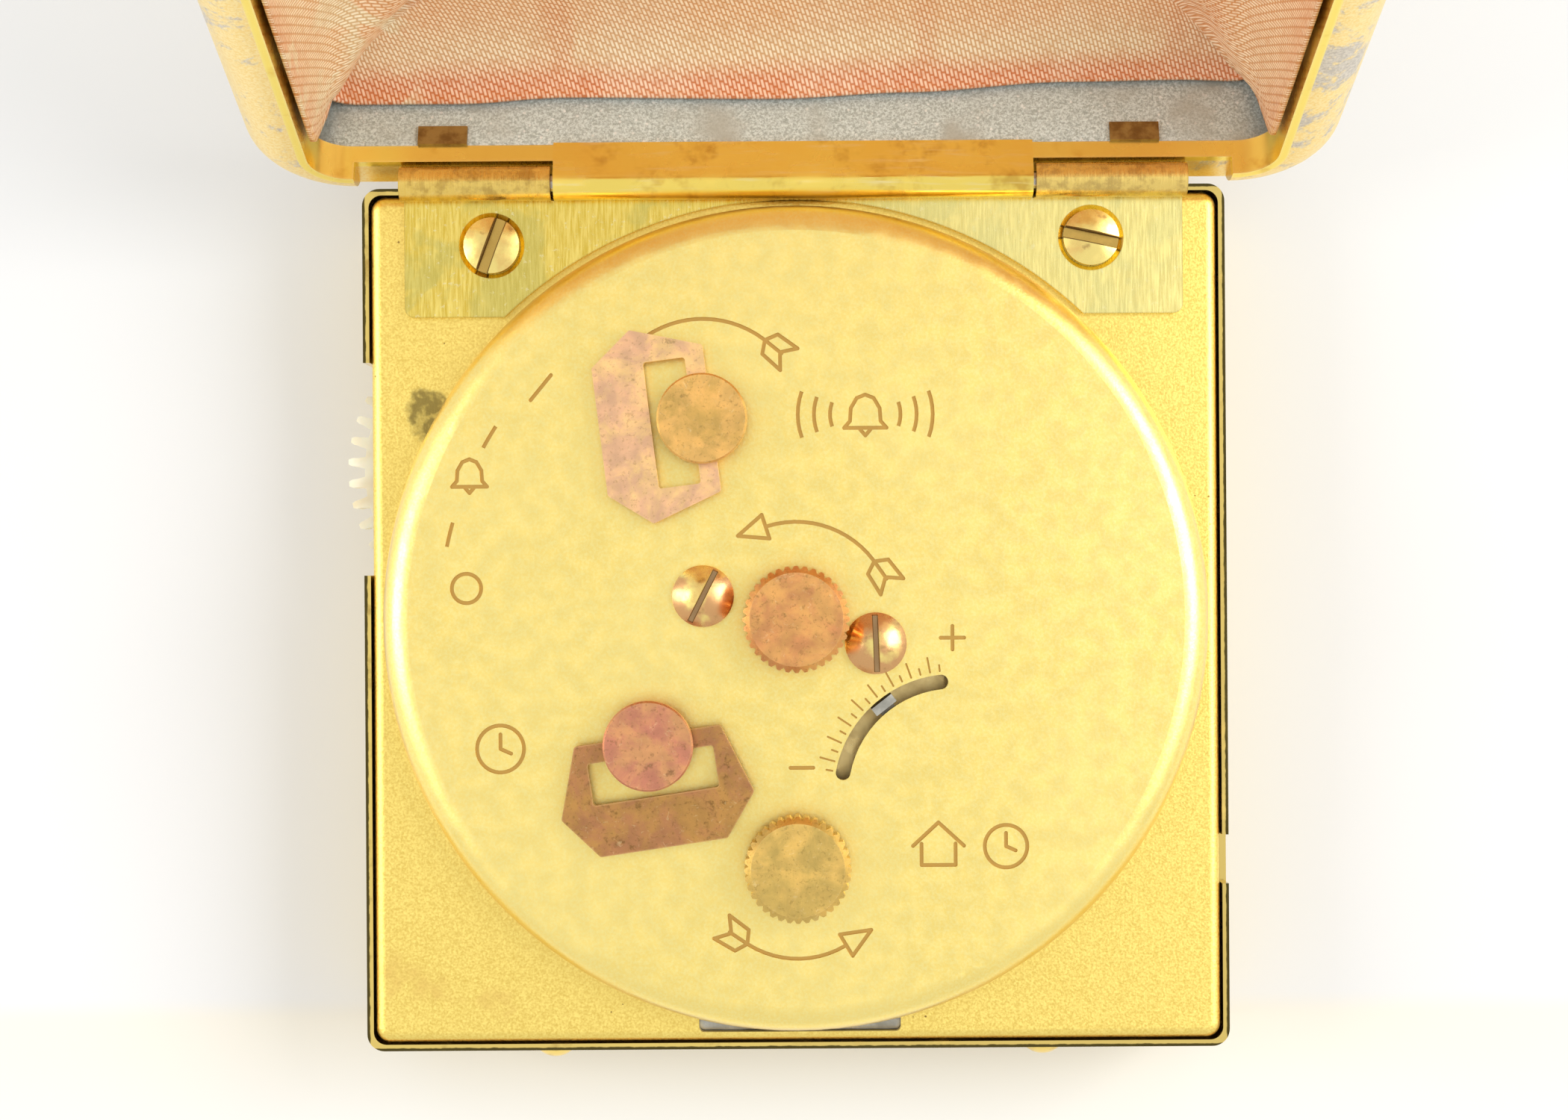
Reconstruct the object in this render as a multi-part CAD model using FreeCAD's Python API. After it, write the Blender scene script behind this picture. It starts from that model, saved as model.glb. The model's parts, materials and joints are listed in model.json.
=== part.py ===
"""Folding travel alarm clock: a square clock hinged to the back half of a two-piece pressed case.

The clock lies on its face, so +Z points out of its back, +Y towards its hinge and +X to the right of
somebody who looks at its back. The origin is the centre of the face, on the plane that the bezel rests on.
The back shell is swung open against its stop and the front shell is folded right back in line with it.
All sizes are in millimetres and all angles in degrees.
"""
import FreeCAD
import Part
import math
import os

V = FreeCAD.Vector
X_AXIS, Y_AXIS, Z_AXIS = V(1, 0, 0), V(0, 1, 0), V(0, 0, 1)

# Driving dimensions of the clock body
CLOCK = 60.0                # outer side of the square front case
WALL = 0.45                 # sheet thickness of the front case
WALL_TOP = 12.0             # height of the rim of the front case above the bezel's face
PAN_TOP = 12.3              # outer face of the back pan
PAN_SHEET = 0.5
PAN_GAP = 0.15              # gap between the case wall and the pan
COVER_X = 0.0               # centre of the round movement cover
COVER_R = 28.4
COVER_H = 3.4               # height of the cover above the pan
COVER_SHEET = 0.5
COVER_TOP = PAN_TOP + COVER_H
BEZEL_R = 27.0
DIAL_R = 25.4

# Hinge between the clock and the back shell
HINGE_Y = 30.1
BARREL_R = 1.2
HINGE_Z = PAN_TOP + BARREL_R
PIN_R = 0.6
FIT = 0.05                  # radial running clearance
LEAF = 0.5                  # thickness of the hinge leaves
MIDDLE_KNUCKLE = 16.5       # half length of the middle knuckle
OUTER_KNUCKLE = (16.7, 27.1)
LEAF_FRONT_Y = 20.95        # free edge of the leaf on the clock
LEAF_ARC_R = 29.0
SHELL_LEAN = 20.6           # the open back shell leans back this far from upright

# Shells, measured from the hinge axis (Y away from the hinge, Z out of the opening)
SHELL_HALF = 37.2
SHELL_NEAR = -2.6
SHELL_FAR = 67.7
OPEN_HALF = 33.0
OPEN_NEAR = 0.7
OPEN_FAR = 63.5
SKIN = 0.6
FRAME_SHEET = 0.6
FRAME_DEEP = 3.0
BACK_DEEP = 10.6
FRONT_DEEP = 16.8
RIM = -0.06                 # rims stand this far behind the parting plane
CORNER_R = 7.0
OPEN_CORNER_R = 2.6
RIM_ROUND = 3.0
FLOOR_ROUND = 6.0
NOTCH_HALF = 30.25
NOTCH_DEEP = 1.35
FRONT_NOTCH_DEEP = 1.4
LINING = 0.8
LINER = (2.6, 7.9)          # depths between which the grey inner tray shows at the hinge
CASE_HINGE_T = SHELL_FAR + 0.6
CASE_KNUCKLE = 12.0
CASE_OUTER_KNUCKLE = (12.2, 22.0)

# Controls on the back: places in plan
ALARM_KEY = (-6.27, 13.57)
TIME_KEY = (-10.04, -8.47)
ALARM_KNOB = (0.0, 0.0)
MINUTE_ARBOR = (ALARM_KNOB[0], -6.6)
SET_KNOB = (ALARM_KNOB[0], -16.83)
BALANCE = (10.64, -11.99)
SWITCH = (-20.7, 10.5)
COVER_SCREWS = ((-6.33, 1.58, 63.0), (5.41, -1.7, 92.0))
LEAF_SCREWS = ((-20.9, 25.9, 69.3), (20.6, 26.2, -12.0))
REGULATOR = (96.0, 169.0)   # ends of the regulator's slot, seen from the balance
REGULATOR_REST = 127.7
SLOT_R = 7.65
SLOT_HALF = 0.5

# Winding keys: a disc on a post, with a wing that folds about a bar through the post
WING_ANGLE = {"alarm": 7.0, "time": 98.3}
KEY_DISC_R = 3.05
KEY_POST_R = 1.5
WING_AXIS_Z = COVER_TOP + 1.1
WING_THICK = 0.6
WING_BAR = 0.65
WING_WINDOW = (3.5, 4.3)
KEY_DISC_LOW = 0.76         # underside of the disc above the wing's axis
KEY_DISC_THICK = 0.72

# Knurled knobs
KNOB_R = 3.6
KNOB_LOW = COVER_TOP + 0.8
KNOB_HIGH = KNOB_LOW + 2.4
KNURLS = 36

# Levels of the movement
FRONT_PLATE = (5.2, 6.0)
REAR_PLATE = (12.0, 12.8)
PLATE_R = 25.0
DIAL = (2.9, 3.2)
PIVOT_R = 0.4
ARBOR_R = 0.6


def box(x0, x1, y0, y1, z0, z1):
    return Part.makeBox(x1 - x0, y1 - y0, z1 - z0, V(x0, y0, z0))


def cyl(r, z0, z1, x=0.0, y=0.0):
    return Part.makeCylinder(r, z1 - z0, V(x, y, z0))


def tube(r_out, r_in, z0, z1, x=0.0, y=0.0):
    return cyl(r_out, z0, z1, x, y).cut(cyl(r_in, z0 - 1, z1 + 1, x, y))


def bar_x(r, x0, x1, y, z):
    """Round bar along X."""
    return Part.makeCylinder(r, x1 - x0, V(x0, y, z), X_AXIS)


def prism(points, z0, z1):
    """Straight-sided solid on a closed outline given as (x, y) points."""
    corners = [V(x, y, z0) for x, y in points]
    return Part.Face(Part.makePolygon(corners + corners[:1])).extrude(V(0, 0, z1 - z0))


def turned(shape, degrees, x=0.0, y=0.0):
    copy = shape.copy()
    copy.rotate(V(x, y, 0), Z_AXIS, degrees)
    return copy


def moved(shape, x=0.0, y=0.0, z=0.0):
    copy = shape.copy()
    copy.translate(V(x, y, z))
    return copy


def fuse(shapes):
    shapes = list(shapes)
    return shapes[0].multiFuse(shapes[1:]).removeSplitter() if len(shapes) > 1 else shapes[0]


def edges_where(shape, test):
    return [e for e in shape.Edges if test(e)]


def rounded_block(x0, x1, y0, y1, z0, z1, corner, low=0.0, high=0.0):
    """Block with rounded upright corners, and optional rounds along its lower and upper outlines."""
    block = box(x0, x1, y0, y1, z0, z1)
    upright = edges_where(block, lambda e: abs(e.BoundBox.ZLength - (z1 - z0)) < 1e-6)
    block = block.makeFillet(corner, upright)
    for radius, level in ((low, z0), (high, z1)):
        if radius:
            flat = edges_where(
                block, lambda e: e.BoundBox.ZLength < 1e-6 and abs(e.BoundBox.ZMin - level) < 1e-6
            )
            block = block.makeFillet(radius, flat)
    return block


def polar(r, degrees, x=0.0, y=0.0):
    a = math.radians(degrees)
    return (x + r * math.cos(a), y + r * math.sin(a))


# Gears -------------------------------------------------------------------------------------------

def gear(teeth, module, z0, z1, place, phase=0.0, pinion=False, bore=0.0):
    """Clock gear with radial flanks and rounded tips. A tooth points along phase."""
    pitch = 360.0 / teeth
    r = module * teeth / 2
    root = r - (1.3 if pinion else 1.25) * module
    half = (0.19 if pinion else 0.235) * pitch
    tip = 0.85 if pinion else 1.05
    profile = [(root, -half), (r, -half), (r + 0.45 * tip * module, -0.72 * half)]
    profile += [(r + 0.82 * tip * module, -0.4 * half), (r + tip * module, -0.12 * half)]
    profile += [(radius, -angle) for radius, angle in reversed(profile)]
    points = []
    for k in range(teeth):
        points += [polar(rr, phase + k * pitch + aa, *place) for rr, aa in profile]
    solid = prism(points, z0, z1)
    return solid.cut(cyl(bore, z0 - 1, z1 + 1, *place)) if bore else solid


def facing(a, b):
    """Direction from place a to place b."""
    return math.degrees(math.atan2(b[1] - a[1], b[0] - a[0]))


def gap_phase(teeth, a, b):
    """Phase that turns a gap of the gear at a towards b."""
    return facing(a, b) + 180.0 / teeth


def mesh_module(a, b, teeth_a, teeth_b):
    """Module that makes two gears on these centres mesh."""
    return 2 * math.dist(a, b) / (teeth_a + teeth_b)


def saw_wheel(teeth, tip, root, z0, z1, place, phase=0.0, bore=0.0):
    """Ratchet or escape wheel: one steep and one sloping flank to each tooth."""
    pitch = 360.0 / teeth
    points = []
    for k in range(teeth):
        a = phase + k * pitch
        points += [polar(root, a, *place), polar(tip, a + 0.12 * pitch, *place)]
        points += [polar(tip, a + 0.2 * pitch, *place), polar(root, a + 0.8 * pitch, *place)]
    solid = prism(points, z0, z1)
    return solid.cut(cyl(bore, z0 - 1, z1 + 1, *place)) if bore else solid


def arbor(place, low=FRONT_PLATE[0], high=REAR_PLATE[1], body=(6.05, 11.95), r=ARBOR_R):
    """Arbor between the plates with a thinner pivot at each end."""
    return cyl(PIVOT_R, low, high, *place).fuse(cyl(r, body[0], body[1], *place))


def spiral_strip(place, r_in, r_out, turns, sheet, z0, z1, start=0.0):
    """Flat spiral spring of the given strip thickness."""
    steps = int(turns * 24)
    inner, outer = [], []
    for k in range(steps + 1):
        a = start + 360.0 * turns * k / steps
        r = r_in + (r_out - r_in) * k / steps
        inner.append(polar(r, a, *place))
        outer.append(polar(r + sheet, a, *place))
    return prism(inner + outer[::-1], z0, z1)


# Strokes that are engraved in the cover ---------------------------------------------------------

STROKE = 0.26
STROKE_DEEP = 0.14


def stroke(a, b, width=STROKE):
    """Straight engraved line from a to b with round ends."""
    z0, z1 = COVER_TOP - STROKE_DEEP, COVER_TOP + 0.5
    length = math.dist(a, b)
    line = box(0, length, -width / 2, width / 2, z0, z1)
    line = moved(turned(line, facing(a, b)), a[0], a[1])
    return [line, cyl(width / 2, z0, z1, *a), cyl(width / 2, z0, z1, *b)]


def stroke_path(points, closed=False):
    points = list(points) + (list(points[:1]) if closed else [])
    return [s for a, b in zip(points, points[1:]) for s in stroke(a, b)]


def stroke_arc(centre, r, a0, a1, width=STROKE):
    """Engraved arc from angle a0 to a1."""
    z0, z1 = COVER_TOP - STROKE_DEEP, COVER_TOP + 0.5
    ring = tube(r + width / 2, r - width / 2, z0, z1, *centre)
    if a1 - a0 < 360:
        reach = (r + width) / math.cos(math.radians(min(a1 - a0, 150.0) / 4))
        fan = [polar(reach, a0 + (a1 - a0) * k / 2, *centre) for k in range(3)]
        ring = ring.common(prism([centre] + fan, z0, z1))
    return [ring]


def local_frame(centre, r, angle):
    """Maps (along, out) to a point beside the circle, with along running anticlockwise at the angle."""
    a = math.radians(angle)
    px, py = polar(r, angle, *centre)

    def place(along, out):
        return (px - along * math.sin(a) + out * math.cos(a), py + along * math.cos(a) + out * math.sin(a))

    return place


def turn_arrow(centre, r, tail, head, with_head=True):
    """Curved arrow with an open head and a feathered tail, pointing anticlockwise."""
    marks = stroke_arc(centre, r, tail, head)
    if with_head:
        at = local_frame(centre, r, head)
        marks += stroke_path([at(0, -0.85), at(0, 0.85), at(2.0, 0)], closed=True)
    at = local_frame(centre, r, tail)
    for side in (1, -1):
        marks += stroke_path(
            [at(0.1, 0), at(-0.35, side * 0.85), at(-2.0, side * 0.95), at(-1.3, side * 0.1)]
        )
    marks += stroke(at(0, 0), at(-1.35, 0))
    return marks


def bell_mark(x, y, size):
    """Small bell in outline."""
    def p(dx, dy):
        return (x + dx * size, y + dy * size)

    body = [p(-0.5, -0.32), p(-0.36, -0.16), p(-0.34, 0.14), p(-0.2, 0.38), p(0, 0.46)]
    body += [(2 * x - bx, by) for bx, by in reversed(body[:-1])]
    marks = stroke_path(body, closed=True)
    marks += stroke_path([p(-0.12, -0.36), p(0, -0.5), p(0.12, -0.36)])
    return marks


def clock_mark(x, y, r):
    """Small clock face in outline."""
    hands = stroke_path([(x, y + 0.62 * r), (x, y), (x + 0.45 * r, y - 0.2 * r)])
    return stroke_arc((x, y), r, 0, 360) + hands


def house_mark(x, y, size):
    """Small house in outline."""
    walls = [(x - 0.4 * size, y), (x - 0.4 * size, y - 0.5 * size)]
    walls += [(x + 0.4 * size, y - 0.5 * size), (x + 0.4 * size, y)]
    eaves = y - 0.05 * size
    roof = [(x - 0.6 * size, eaves), (x, y + 0.5 * size), (x + 0.6 * size, eaves)]
    return stroke_path(walls) + stroke_path(roof)


def cover_marks():
    """Every engraved mark on the round cover: arrows, symbols and the regulator's scale."""
    marks = turn_arrow(ALARM_KEY, 6.9, 51, 124, with_head=False)
    marks += turn_arrow(ALARM_KNOB, 6.6, 35, 108)
    marks += turn_arrow(SET_KNOB, 6.35, 236, 301)
    marks += bell_mark(4.8, 13.9, 2.9)
    for side in (0, 180):
        for r in (2.4, 3.5, 4.6):
            marks += stroke_arc((4.8, 13.9), r, side - 20, side + 20)
    marks += clock_mark(-20.2, -8.75, 1.6)
    marks += house_mark(9.6, -15.4, 2.9) + clock_mark(14.2, -15.6, 1.45)
    marks += bell_mark(-22.2, 9.9, 2.4)
    marks += stroke_arc((0, 0), 24.3, 147, 151) + stroke_arc((0, 0), 24.3, 164, 168)
    marks += stroke((-18.0, 15.0), (-16.6, 16.7))
    marks += stroke_arc((-22.45, 2.2), 1.0, 0, 360)
    marks += stroke((-0.45, -10.17), (1.1, -10.17))
    marks += stroke((9.84, -1.37), (11.44, -1.37)) + stroke((10.64, -2.17), (10.64, -0.57))
    for k in range(17):
        a = REGULATOR[0] + (REGULATOR[1] - REGULATOR[0]) * k / 16
        outer = SLOT_R + (1.75 if k % 2 else 1.15)
        marks += stroke(polar(SLOT_R + 0.75, a, *BALANCE), polar(outer, a, *BALANCE), 0.13)
    return marks


# Clock case --------------------------------------------------------------------------------------

def front_case():
    """Polished square tray that carries the bezel and surrounds the movement."""
    h = CLOCK / 2
    tray = rounded_block(-h, h, -h, h, 0.8, WALL_TOP, 1.2)
    tray = tray.cut(rounded_block(-h + WALL, h - WALL, -h + WALL, h - WALL, 1.4, WALL_TOP + 1, 0.9))
    tray = tray.cut(cyl(DIAL_R + 0.05, 0, 2))
    switch_slot = box(-h - 1, -h + 1.2, SWITCH[1] - 7.4, SWITCH[1] + 7.4, 7.4, WALL_TOP + 1)
    pry_notch = box(h - 1, h + 1, -18.7, -15.3, WALL_TOP - 1.2, WALL_TOP + 1)
    return tray.cut(switch_slot).cut(pry_notch)


def bezel_ring():
    """Turned ring that stands proud of the square face and holds the crystal."""
    ring = tube(BEZEL_R, DIAL_R - 1.6, 0, 0.8)
    ring = ring.makeChamfer(0.3, edges_where(ring, lambda e: e.BoundBox.ZMax < 1e-6))
    sleeve = tube(DIAL_R, DIAL_R - 0.5, 0.75, 2.8)
    return ring.cut(cyl(DIAL_R - 0.7, 0.35, 2)).fuse(sleeve)


def crystal():
    """Slightly domed window."""
    disc = cyl(DIAL_R - 0.75, 0.4, 1.2)
    rise = 0.6
    radius = ((DIAL_R - 2) ** 2 + rise ** 2) / (2 * rise)
    lens = Part.makeSphere(radius, V(0, 0, 0.4 + radius - 0.3))
    flat = cyl(DIAL_R - 1.7, 0.1, 1.2).common(lens)
    return disc.fuse(flat).removeSplitter()


def dial():
    return cyl(DIAL_R - 0.6, *DIAL).cut(cyl(2.2, 2, 4, *ALARM_KNOB))


def back_pan():
    """Frosted back plate with rolled edges and a skirt that fits inside the case."""
    h = CLOCK / 2 - WALL - PAN_GAP
    pan = rounded_block(-h, h, -h, h, 7.0, PAN_TOP, 1.0, high=0.75)
    inner = h - PAN_SHEET
    pan = pan.cut(rounded_block(-inner, inner, -inner, inner, 6.0, PAN_TOP - PAN_SHEET, 0.6, high=0.3))
    pan = pan.cut(cyl(25.6, 6, 14, COVER_X, 0))
    pan = pan.cut(box(-h - 1, -h + 1.2, SWITCH[1] - 7.2, SWITCH[1] + 7.2, 6.5, PAN_TOP - 0.9))
    slot = rounded_block(-6.9, 7.1, -28.75, -26.2, 10, 14, 0.35)
    pan = pan.cut(slot)
    for x, y, _ in LEAF_SCREWS:
        pan = pan.cut(cyl(1.05, 10, 14, x, y))
    return pan


def movement_cover():
    """Round pressed cover with holes for the controls and engraved marks."""
    place = (COVER_X, 0)
    cup = cyl(COVER_R, PAN_TOP, COVER_TOP, *place)
    cup = cup.makeFillet(1.9, edges_where(cup, lambda e: e.BoundBox.ZMin > COVER_TOP - 1e-6))
    hollow = cyl(COVER_R - COVER_SHEET, PAN_TOP - 1, COVER_TOP - COVER_SHEET, *place)
    hollow = hollow.makeFillet(
        1.4, edges_where(hollow, lambda e: e.BoundBox.ZMin > COVER_TOP - COVER_SHEET - 1e-6)
    )
    cup = cup.cut(hollow)
    holes = [cyl(KEY_POST_R + 0.1, 12, 18, *ALARM_KEY), cyl(KEY_POST_R + 0.1, 12, 18, *TIME_KEY)]
    holes += [cyl(1.1, 12, 18, *ALARM_KNOB), cyl(1.1, 12, 18, *SET_KNOB)]
    holes += [cyl(1.05, 12, 18, x, y) for x, y, _ in COVER_SCREWS]
    a0, a1 = REGULATOR
    fan = prism([BALANCE] + [polar(12, a, *BALANCE) for a in (a0, (a0 + a1) / 2, a1)], 12, 18)
    holes.append(tube(SLOT_R + SLOT_HALF, SLOT_R - SLOT_HALF, 12, 18, *BALANCE).common(fan))
    holes += [cyl(SLOT_HALF, 12, 18, *polar(SLOT_R, a, *BALANCE)) for a in REGULATOR]
    return cup.cut(fuse(holes)).cut(fuse(cover_marks()))


def slotted_screw(x, y, turn, under, head_r, head_h, dome, slot, length, shank):
    """Domed screw with a slotted head, standing on the level under."""
    radius = (head_r ** 2 + dome ** 2) / (2 * dome)
    ball = Part.makeSphere(radius, V(x, y, under + head_h - radius))
    head = cyl(head_r, under, under + head_h, x, y).common(ball)
    groove = box(-head_r - 1, head_r + 1, -slot / 2, slot / 2, under + head_h - 0.62, under + head_h + 1)
    head = head.cut(moved(turned(groove, turn), x, y))
    return head.fuse(cyl(shank, under - length, under + 0.1, x, y))


def cover_screws():
    return Part.Compound(
        [slotted_screw(x, y, a, COVER_TOP, 2.1, 1.25, 0.8, 0.42, 3.0, 0.95) for x, y, a in COVER_SCREWS]
    )


def leaf_screws():
    seat = PAN_TOP + 0.12
    return Part.Compound(
        [slotted_screw(x, y, a, seat, 1.93, 0.95, 0.3, 0.75, 3.4, 0.95) for x, y, a in LEAF_SCREWS]
    )


def clock_hinge_leaf():
    """Leaf screwed to the clock's back, cut away round the cover, with a knuckle at each end."""
    lo, hi = OUTER_KNUCKLE
    leaf = rounded_block(-hi + 0.15, hi - 0.15, LEAF_FRONT_Y, HINGE_Y + 3, PAN_TOP, PAN_TOP + LEAF, 0.65)
    leaf = leaf.cut(box(-40, 40, HINGE_Y, 40, 0, 20))
    leaf = leaf.cut(cyl(LEAF_ARC_R, 10, 16, COVER_X, 0))
    middle = MIDDLE_KNUCKLE + 0.2
    leaf = leaf.cut(bar_x(BARREL_R + 0.12, -middle, middle, HINGE_Y, HINGE_Z))
    leaf = leaf.cut(box(-middle, middle, HINGE_Y - 0.9, 40, 0, 20))
    for x, y, _ in LEAF_SCREWS:
        dimple = Part.makeCone(1.95, 2.35, LEAF, V(x, y, PAN_TOP + 0.1))
        leaf = leaf.cut(dimple).cut(cyl(1.05, 10, 16, x, y))
    knuckles = []
    for x0, x1 in ((-hi, -lo), (lo, hi)):
        knuckle = bar_x(BARREL_R, x0, x1, HINGE_Y, HINGE_Z)
        knuckles.append(knuckle)
    bore = bar_x(PIN_R + FIT, -40, 40, HINGE_Y, HINGE_Z)
    return fuse([leaf] + knuckles).cut(bore)


def clock_hinge_pin():
    hi = OUTER_KNUCKLE[1]
    return bar_x(PIN_R, -hi, hi, HINGE_Y, HINGE_Z)


def foot_studs():
    """Two domed studs under the clock that seat in the rim of the front shell when the clock stands."""
    studs = []
    for x in (-17.2, 17.3):
        ball = Part.makeSphere(1.75, V(x, -CLOCK / 2 + 0.65, 8.2))
        studs.append(ball.common(box(x - 3, x + 3, -CLOCK / 2 - 3, -CLOCK / 2, 5, 11)))
    return Part.Compound(studs)


# Shells ------------------------------------------------------------------------------------------

def shell_place(shape):
    """Moves a shape from the shell frame at the hinge axis to the open position."""
    copy = shape.copy()
    copy.rotate(V(0, 0, 0), X_AXIS, 90 - SHELL_LEAN)
    copy.translate(V(0, HINGE_Y, HINGE_Z))
    return copy


def opened_out(y):
    """Y in the shell frame of a front shell point, folded back about the case hinge."""
    return 2 * CASE_HINGE_T - y


def shell_pan(y0, y1, open0, open1, depth, notch, tongue_slots=()):
    """Pressed pillow-shaped shell: turned-in rim, notch for the clock's hinge, groove for the case hinge."""
    half = SHELL_HALF
    outer = rounded_block(-half, half, y0, y1, -depth, RIM, CORNER_R, low=FLOOR_ROUND, high=RIM_ROUND)
    s = SKIN
    inside = (-half + s, half - s, y0 + s, y1 - s, -depth + s, -s)
    cavity = rounded_block(*inside, CORNER_R - s, low=FLOOR_ROUND - s, high=RIM_ROUND - s)
    f = FRAME_SHEET
    wide = OPEN_HALF + f
    mouth = rounded_block(-wide, wide, open0 - f, open1 + f, -s - 2.0, 1, OPEN_CORNER_R + f)
    pan = outer.cut(cavity).cut(mouth)
    n0, n1, deep = notch
    pocket = box(-NOTCH_HALF, NOTCH_HALF, n0, n1, -deep, 1)
    walls = box(-NOTCH_HALF - s, NOTCH_HALF + s, n0, n1, -deep - s, 1).common(outer).cut(mouth)
    pan = pan.cut(pocket).fuse(walls.cut(pocket))
    return pan.cut(bar_x(BARREL_R + 0.15, -23, 23, CASE_HINGE_T, 0))


def shell_frame(open0, open1, notch):
    """Polished strip that lines the shell's mouth."""
    f = FRAME_SHEET
    wide = OPEN_HALF + f
    outer = rounded_block(-wide, wide, open0 - f, open1 + f, -FRAME_DEEP, RIM / 2, OPEN_CORNER_R + f)
    inner = rounded_block(-OPEN_HALF, OPEN_HALF, open0, open1, -FRAME_DEEP - 1, 1, OPEN_CORNER_R)
    n0, n1, deep = notch
    return outer.cut(inner).cut(box(-NOTCH_HALF, NOTCH_HALF, n0, n1, -deep, 1))


def shell_lining(near, far, depth, near_low, far_low, corner, low):
    """Plain tray in the place of the satin lining, flush with the mouth and lower along the hinge side."""
    half = OPEN_HALF - 0.05
    floor = -depth + SKIN + 0.05
    t = LINING
    outer = rounded_block(-half, half, near, far, floor, -FRAME_DEEP - 0.1, corner, low=low)
    inner = rounded_block(-half + t, half - t, near + t, far - t, floor + t, 0, corner - t, low=low - t)
    tray = outer.cut(inner)
    tray = tray.cut(box(-40, 40, near - 1, near + t, -near_low, 1))
    return tray.cut(box(-40, 40, far - t, far + 1, -far_low, 1))


BACK_NOTCH = (SHELL_NEAR - 1, OPEN_NEAR + 0.01, NOTCH_DEEP)
FRONT_SPAN = (opened_out(SHELL_FAR), opened_out(SHELL_NEAR))
FRONT_OPEN = (opened_out(OPEN_FAR), opened_out(-1.3))
FRONT_NOTCH = (FRONT_OPEN[1] - 0.01, FRONT_SPAN[1] + 1, FRONT_NOTCH_DEEP)
TONGUE_T = 34.0             # place of the closing tongues along the shells


def back_shell_pan():
    return shell_place(shell_pan(SHELL_NEAR, SHELL_FAR, OPEN_NEAR, OPEN_FAR, BACK_DEEP, BACK_NOTCH))


def back_shell_frame():
    frame = shell_frame(OPEN_NEAR, OPEN_FAR, BACK_NOTCH)
    frame = frame.cut(box(-40, 40, TONGUE_T - 3.3, TONGUE_T + 3.3, -2.4, -1.3))
    frame = frame.cut(box(-40, 40, OPEN_NEAR - 2, OPEN_NEAR + 2.6, -FRAME_DEEP - 1, -LINER[0]))
    return shell_place(frame)


def hinge_side_liner():
    """Grey strip of the inner tray that shows along the hinge side between the frame and the satin."""
    half = OPEN_HALF - 0.1
    return shell_place(box(-half, half, OPEN_NEAR - 0.55, OPEN_NEAR - 0.02, -LINER[1], -LINER[0] - 0.02))


def back_shell_lining():
    return shell_place(shell_lining(OPEN_NEAR + 0.02, OPEN_FAR, BACK_DEEP, 5.6, 3.1, OPEN_CORNER_R, 2.4))


def frame_tabs():
    """Two small tabs of the frame, bent over on the hinge side."""
    y0, y1 = OPEN_NEAR + 0.01, OPEN_NEAR + 0.25
    tabs = [box(x - 1.7, x + 1.7, y0, y1, -4.0, -LINER[0]) for x in (-24.2, 23.6)]
    return shell_place(Part.Compound(tabs))


def front_shell_pan():
    return shell_place(shell_pan(*FRONT_SPAN, *FRONT_OPEN, FRONT_DEEP, FRONT_NOTCH))


def front_shell_frame():
    return shell_place(shell_frame(*FRONT_OPEN, FRONT_NOTCH))


def front_shell_lining():
    near, far = opened_out(OPEN_FAR), opened_out(-1.85)
    return shell_place(shell_lining(near, far, FRONT_DEEP, 3.1, 3.1, 5.5, 5.2))


def shell_hinge_leaf():
    """Middle knuckle with its leaf running down inside the mouth of the back shell."""
    m = MIDDLE_KNUCKLE
    leaf = box(-m, m, OPEN_NEAR + 0.01, BARREL_R, -2.5, 0)
    knuckle = bar_x(BARREL_R, -m, m, 0, 0).fuse(leaf)
    return shell_place(knuckle.cut(bar_x(PIN_R + FIT, -40, 40, 0, 0)))


def case_hinge(knuckles, y0, y1):
    """Leaf on a shell's outer wall with knuckles round the case hinge axis."""
    x = CASE_OUTER_KNUCKLE[1]
    leaf = box(-x, x, y0, y1, -5.2, -1.5)
    pieces = [leaf]
    for x0, x1 in knuckles:
        neck = box(x0, x1, y0, y1, -1.6, -0.8)
        pieces += [bar_x(BARREL_R, x0, x1, CASE_HINGE_T, 0), neck]
    body = fuse(pieces)
    return shell_place(body.cut(bar_x(PIN_R + FIT, -40, 40, CASE_HINGE_T, 0)))


def case_hinge_leaf_back():
    lo, hi = CASE_OUTER_KNUCKLE
    return case_hinge([(-hi, -lo), (lo, hi)], SHELL_FAR + 0.01, CASE_HINGE_T - 0.06)


def case_hinge_leaf_front():
    return case_hinge([(-CASE_KNUCKLE, CASE_KNUCKLE)], CASE_HINGE_T + 0.06, FRONT_SPAN[0] - 0.01)


def case_hinge_pin():
    hi = CASE_OUTER_KNUCKLE[1]
    return shell_place(bar_x(PIN_R, -hi, hi, CASE_HINGE_T, 0))


def closing_tongues():
    """Two sprung tongues on the front shell's frame that click into the back shell's frame."""
    y = opened_out(TONGUE_T)
    tongues = []
    for side in (-1, 1):
        strip = box(OPEN_HALF - 0.5, OPEN_HALF - 0.1, y - 3, y + 3, -FRAME_DEEP, 2.5)
        bead = Part.makeCylinder(0.35, 5.0, V(OPEN_HALF - 0.42, y - 2.5, 1.85), Y_AXIS)
        tongue = strip.fuse(bead)
        tongues.append(tongue if side > 0 else tongue.mirror(V(0, 0, 0), X_AXIS))
    return shell_place(Part.Compound(tongues))


# Keys and knobs ----------------------------------------------------------------------------------

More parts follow.
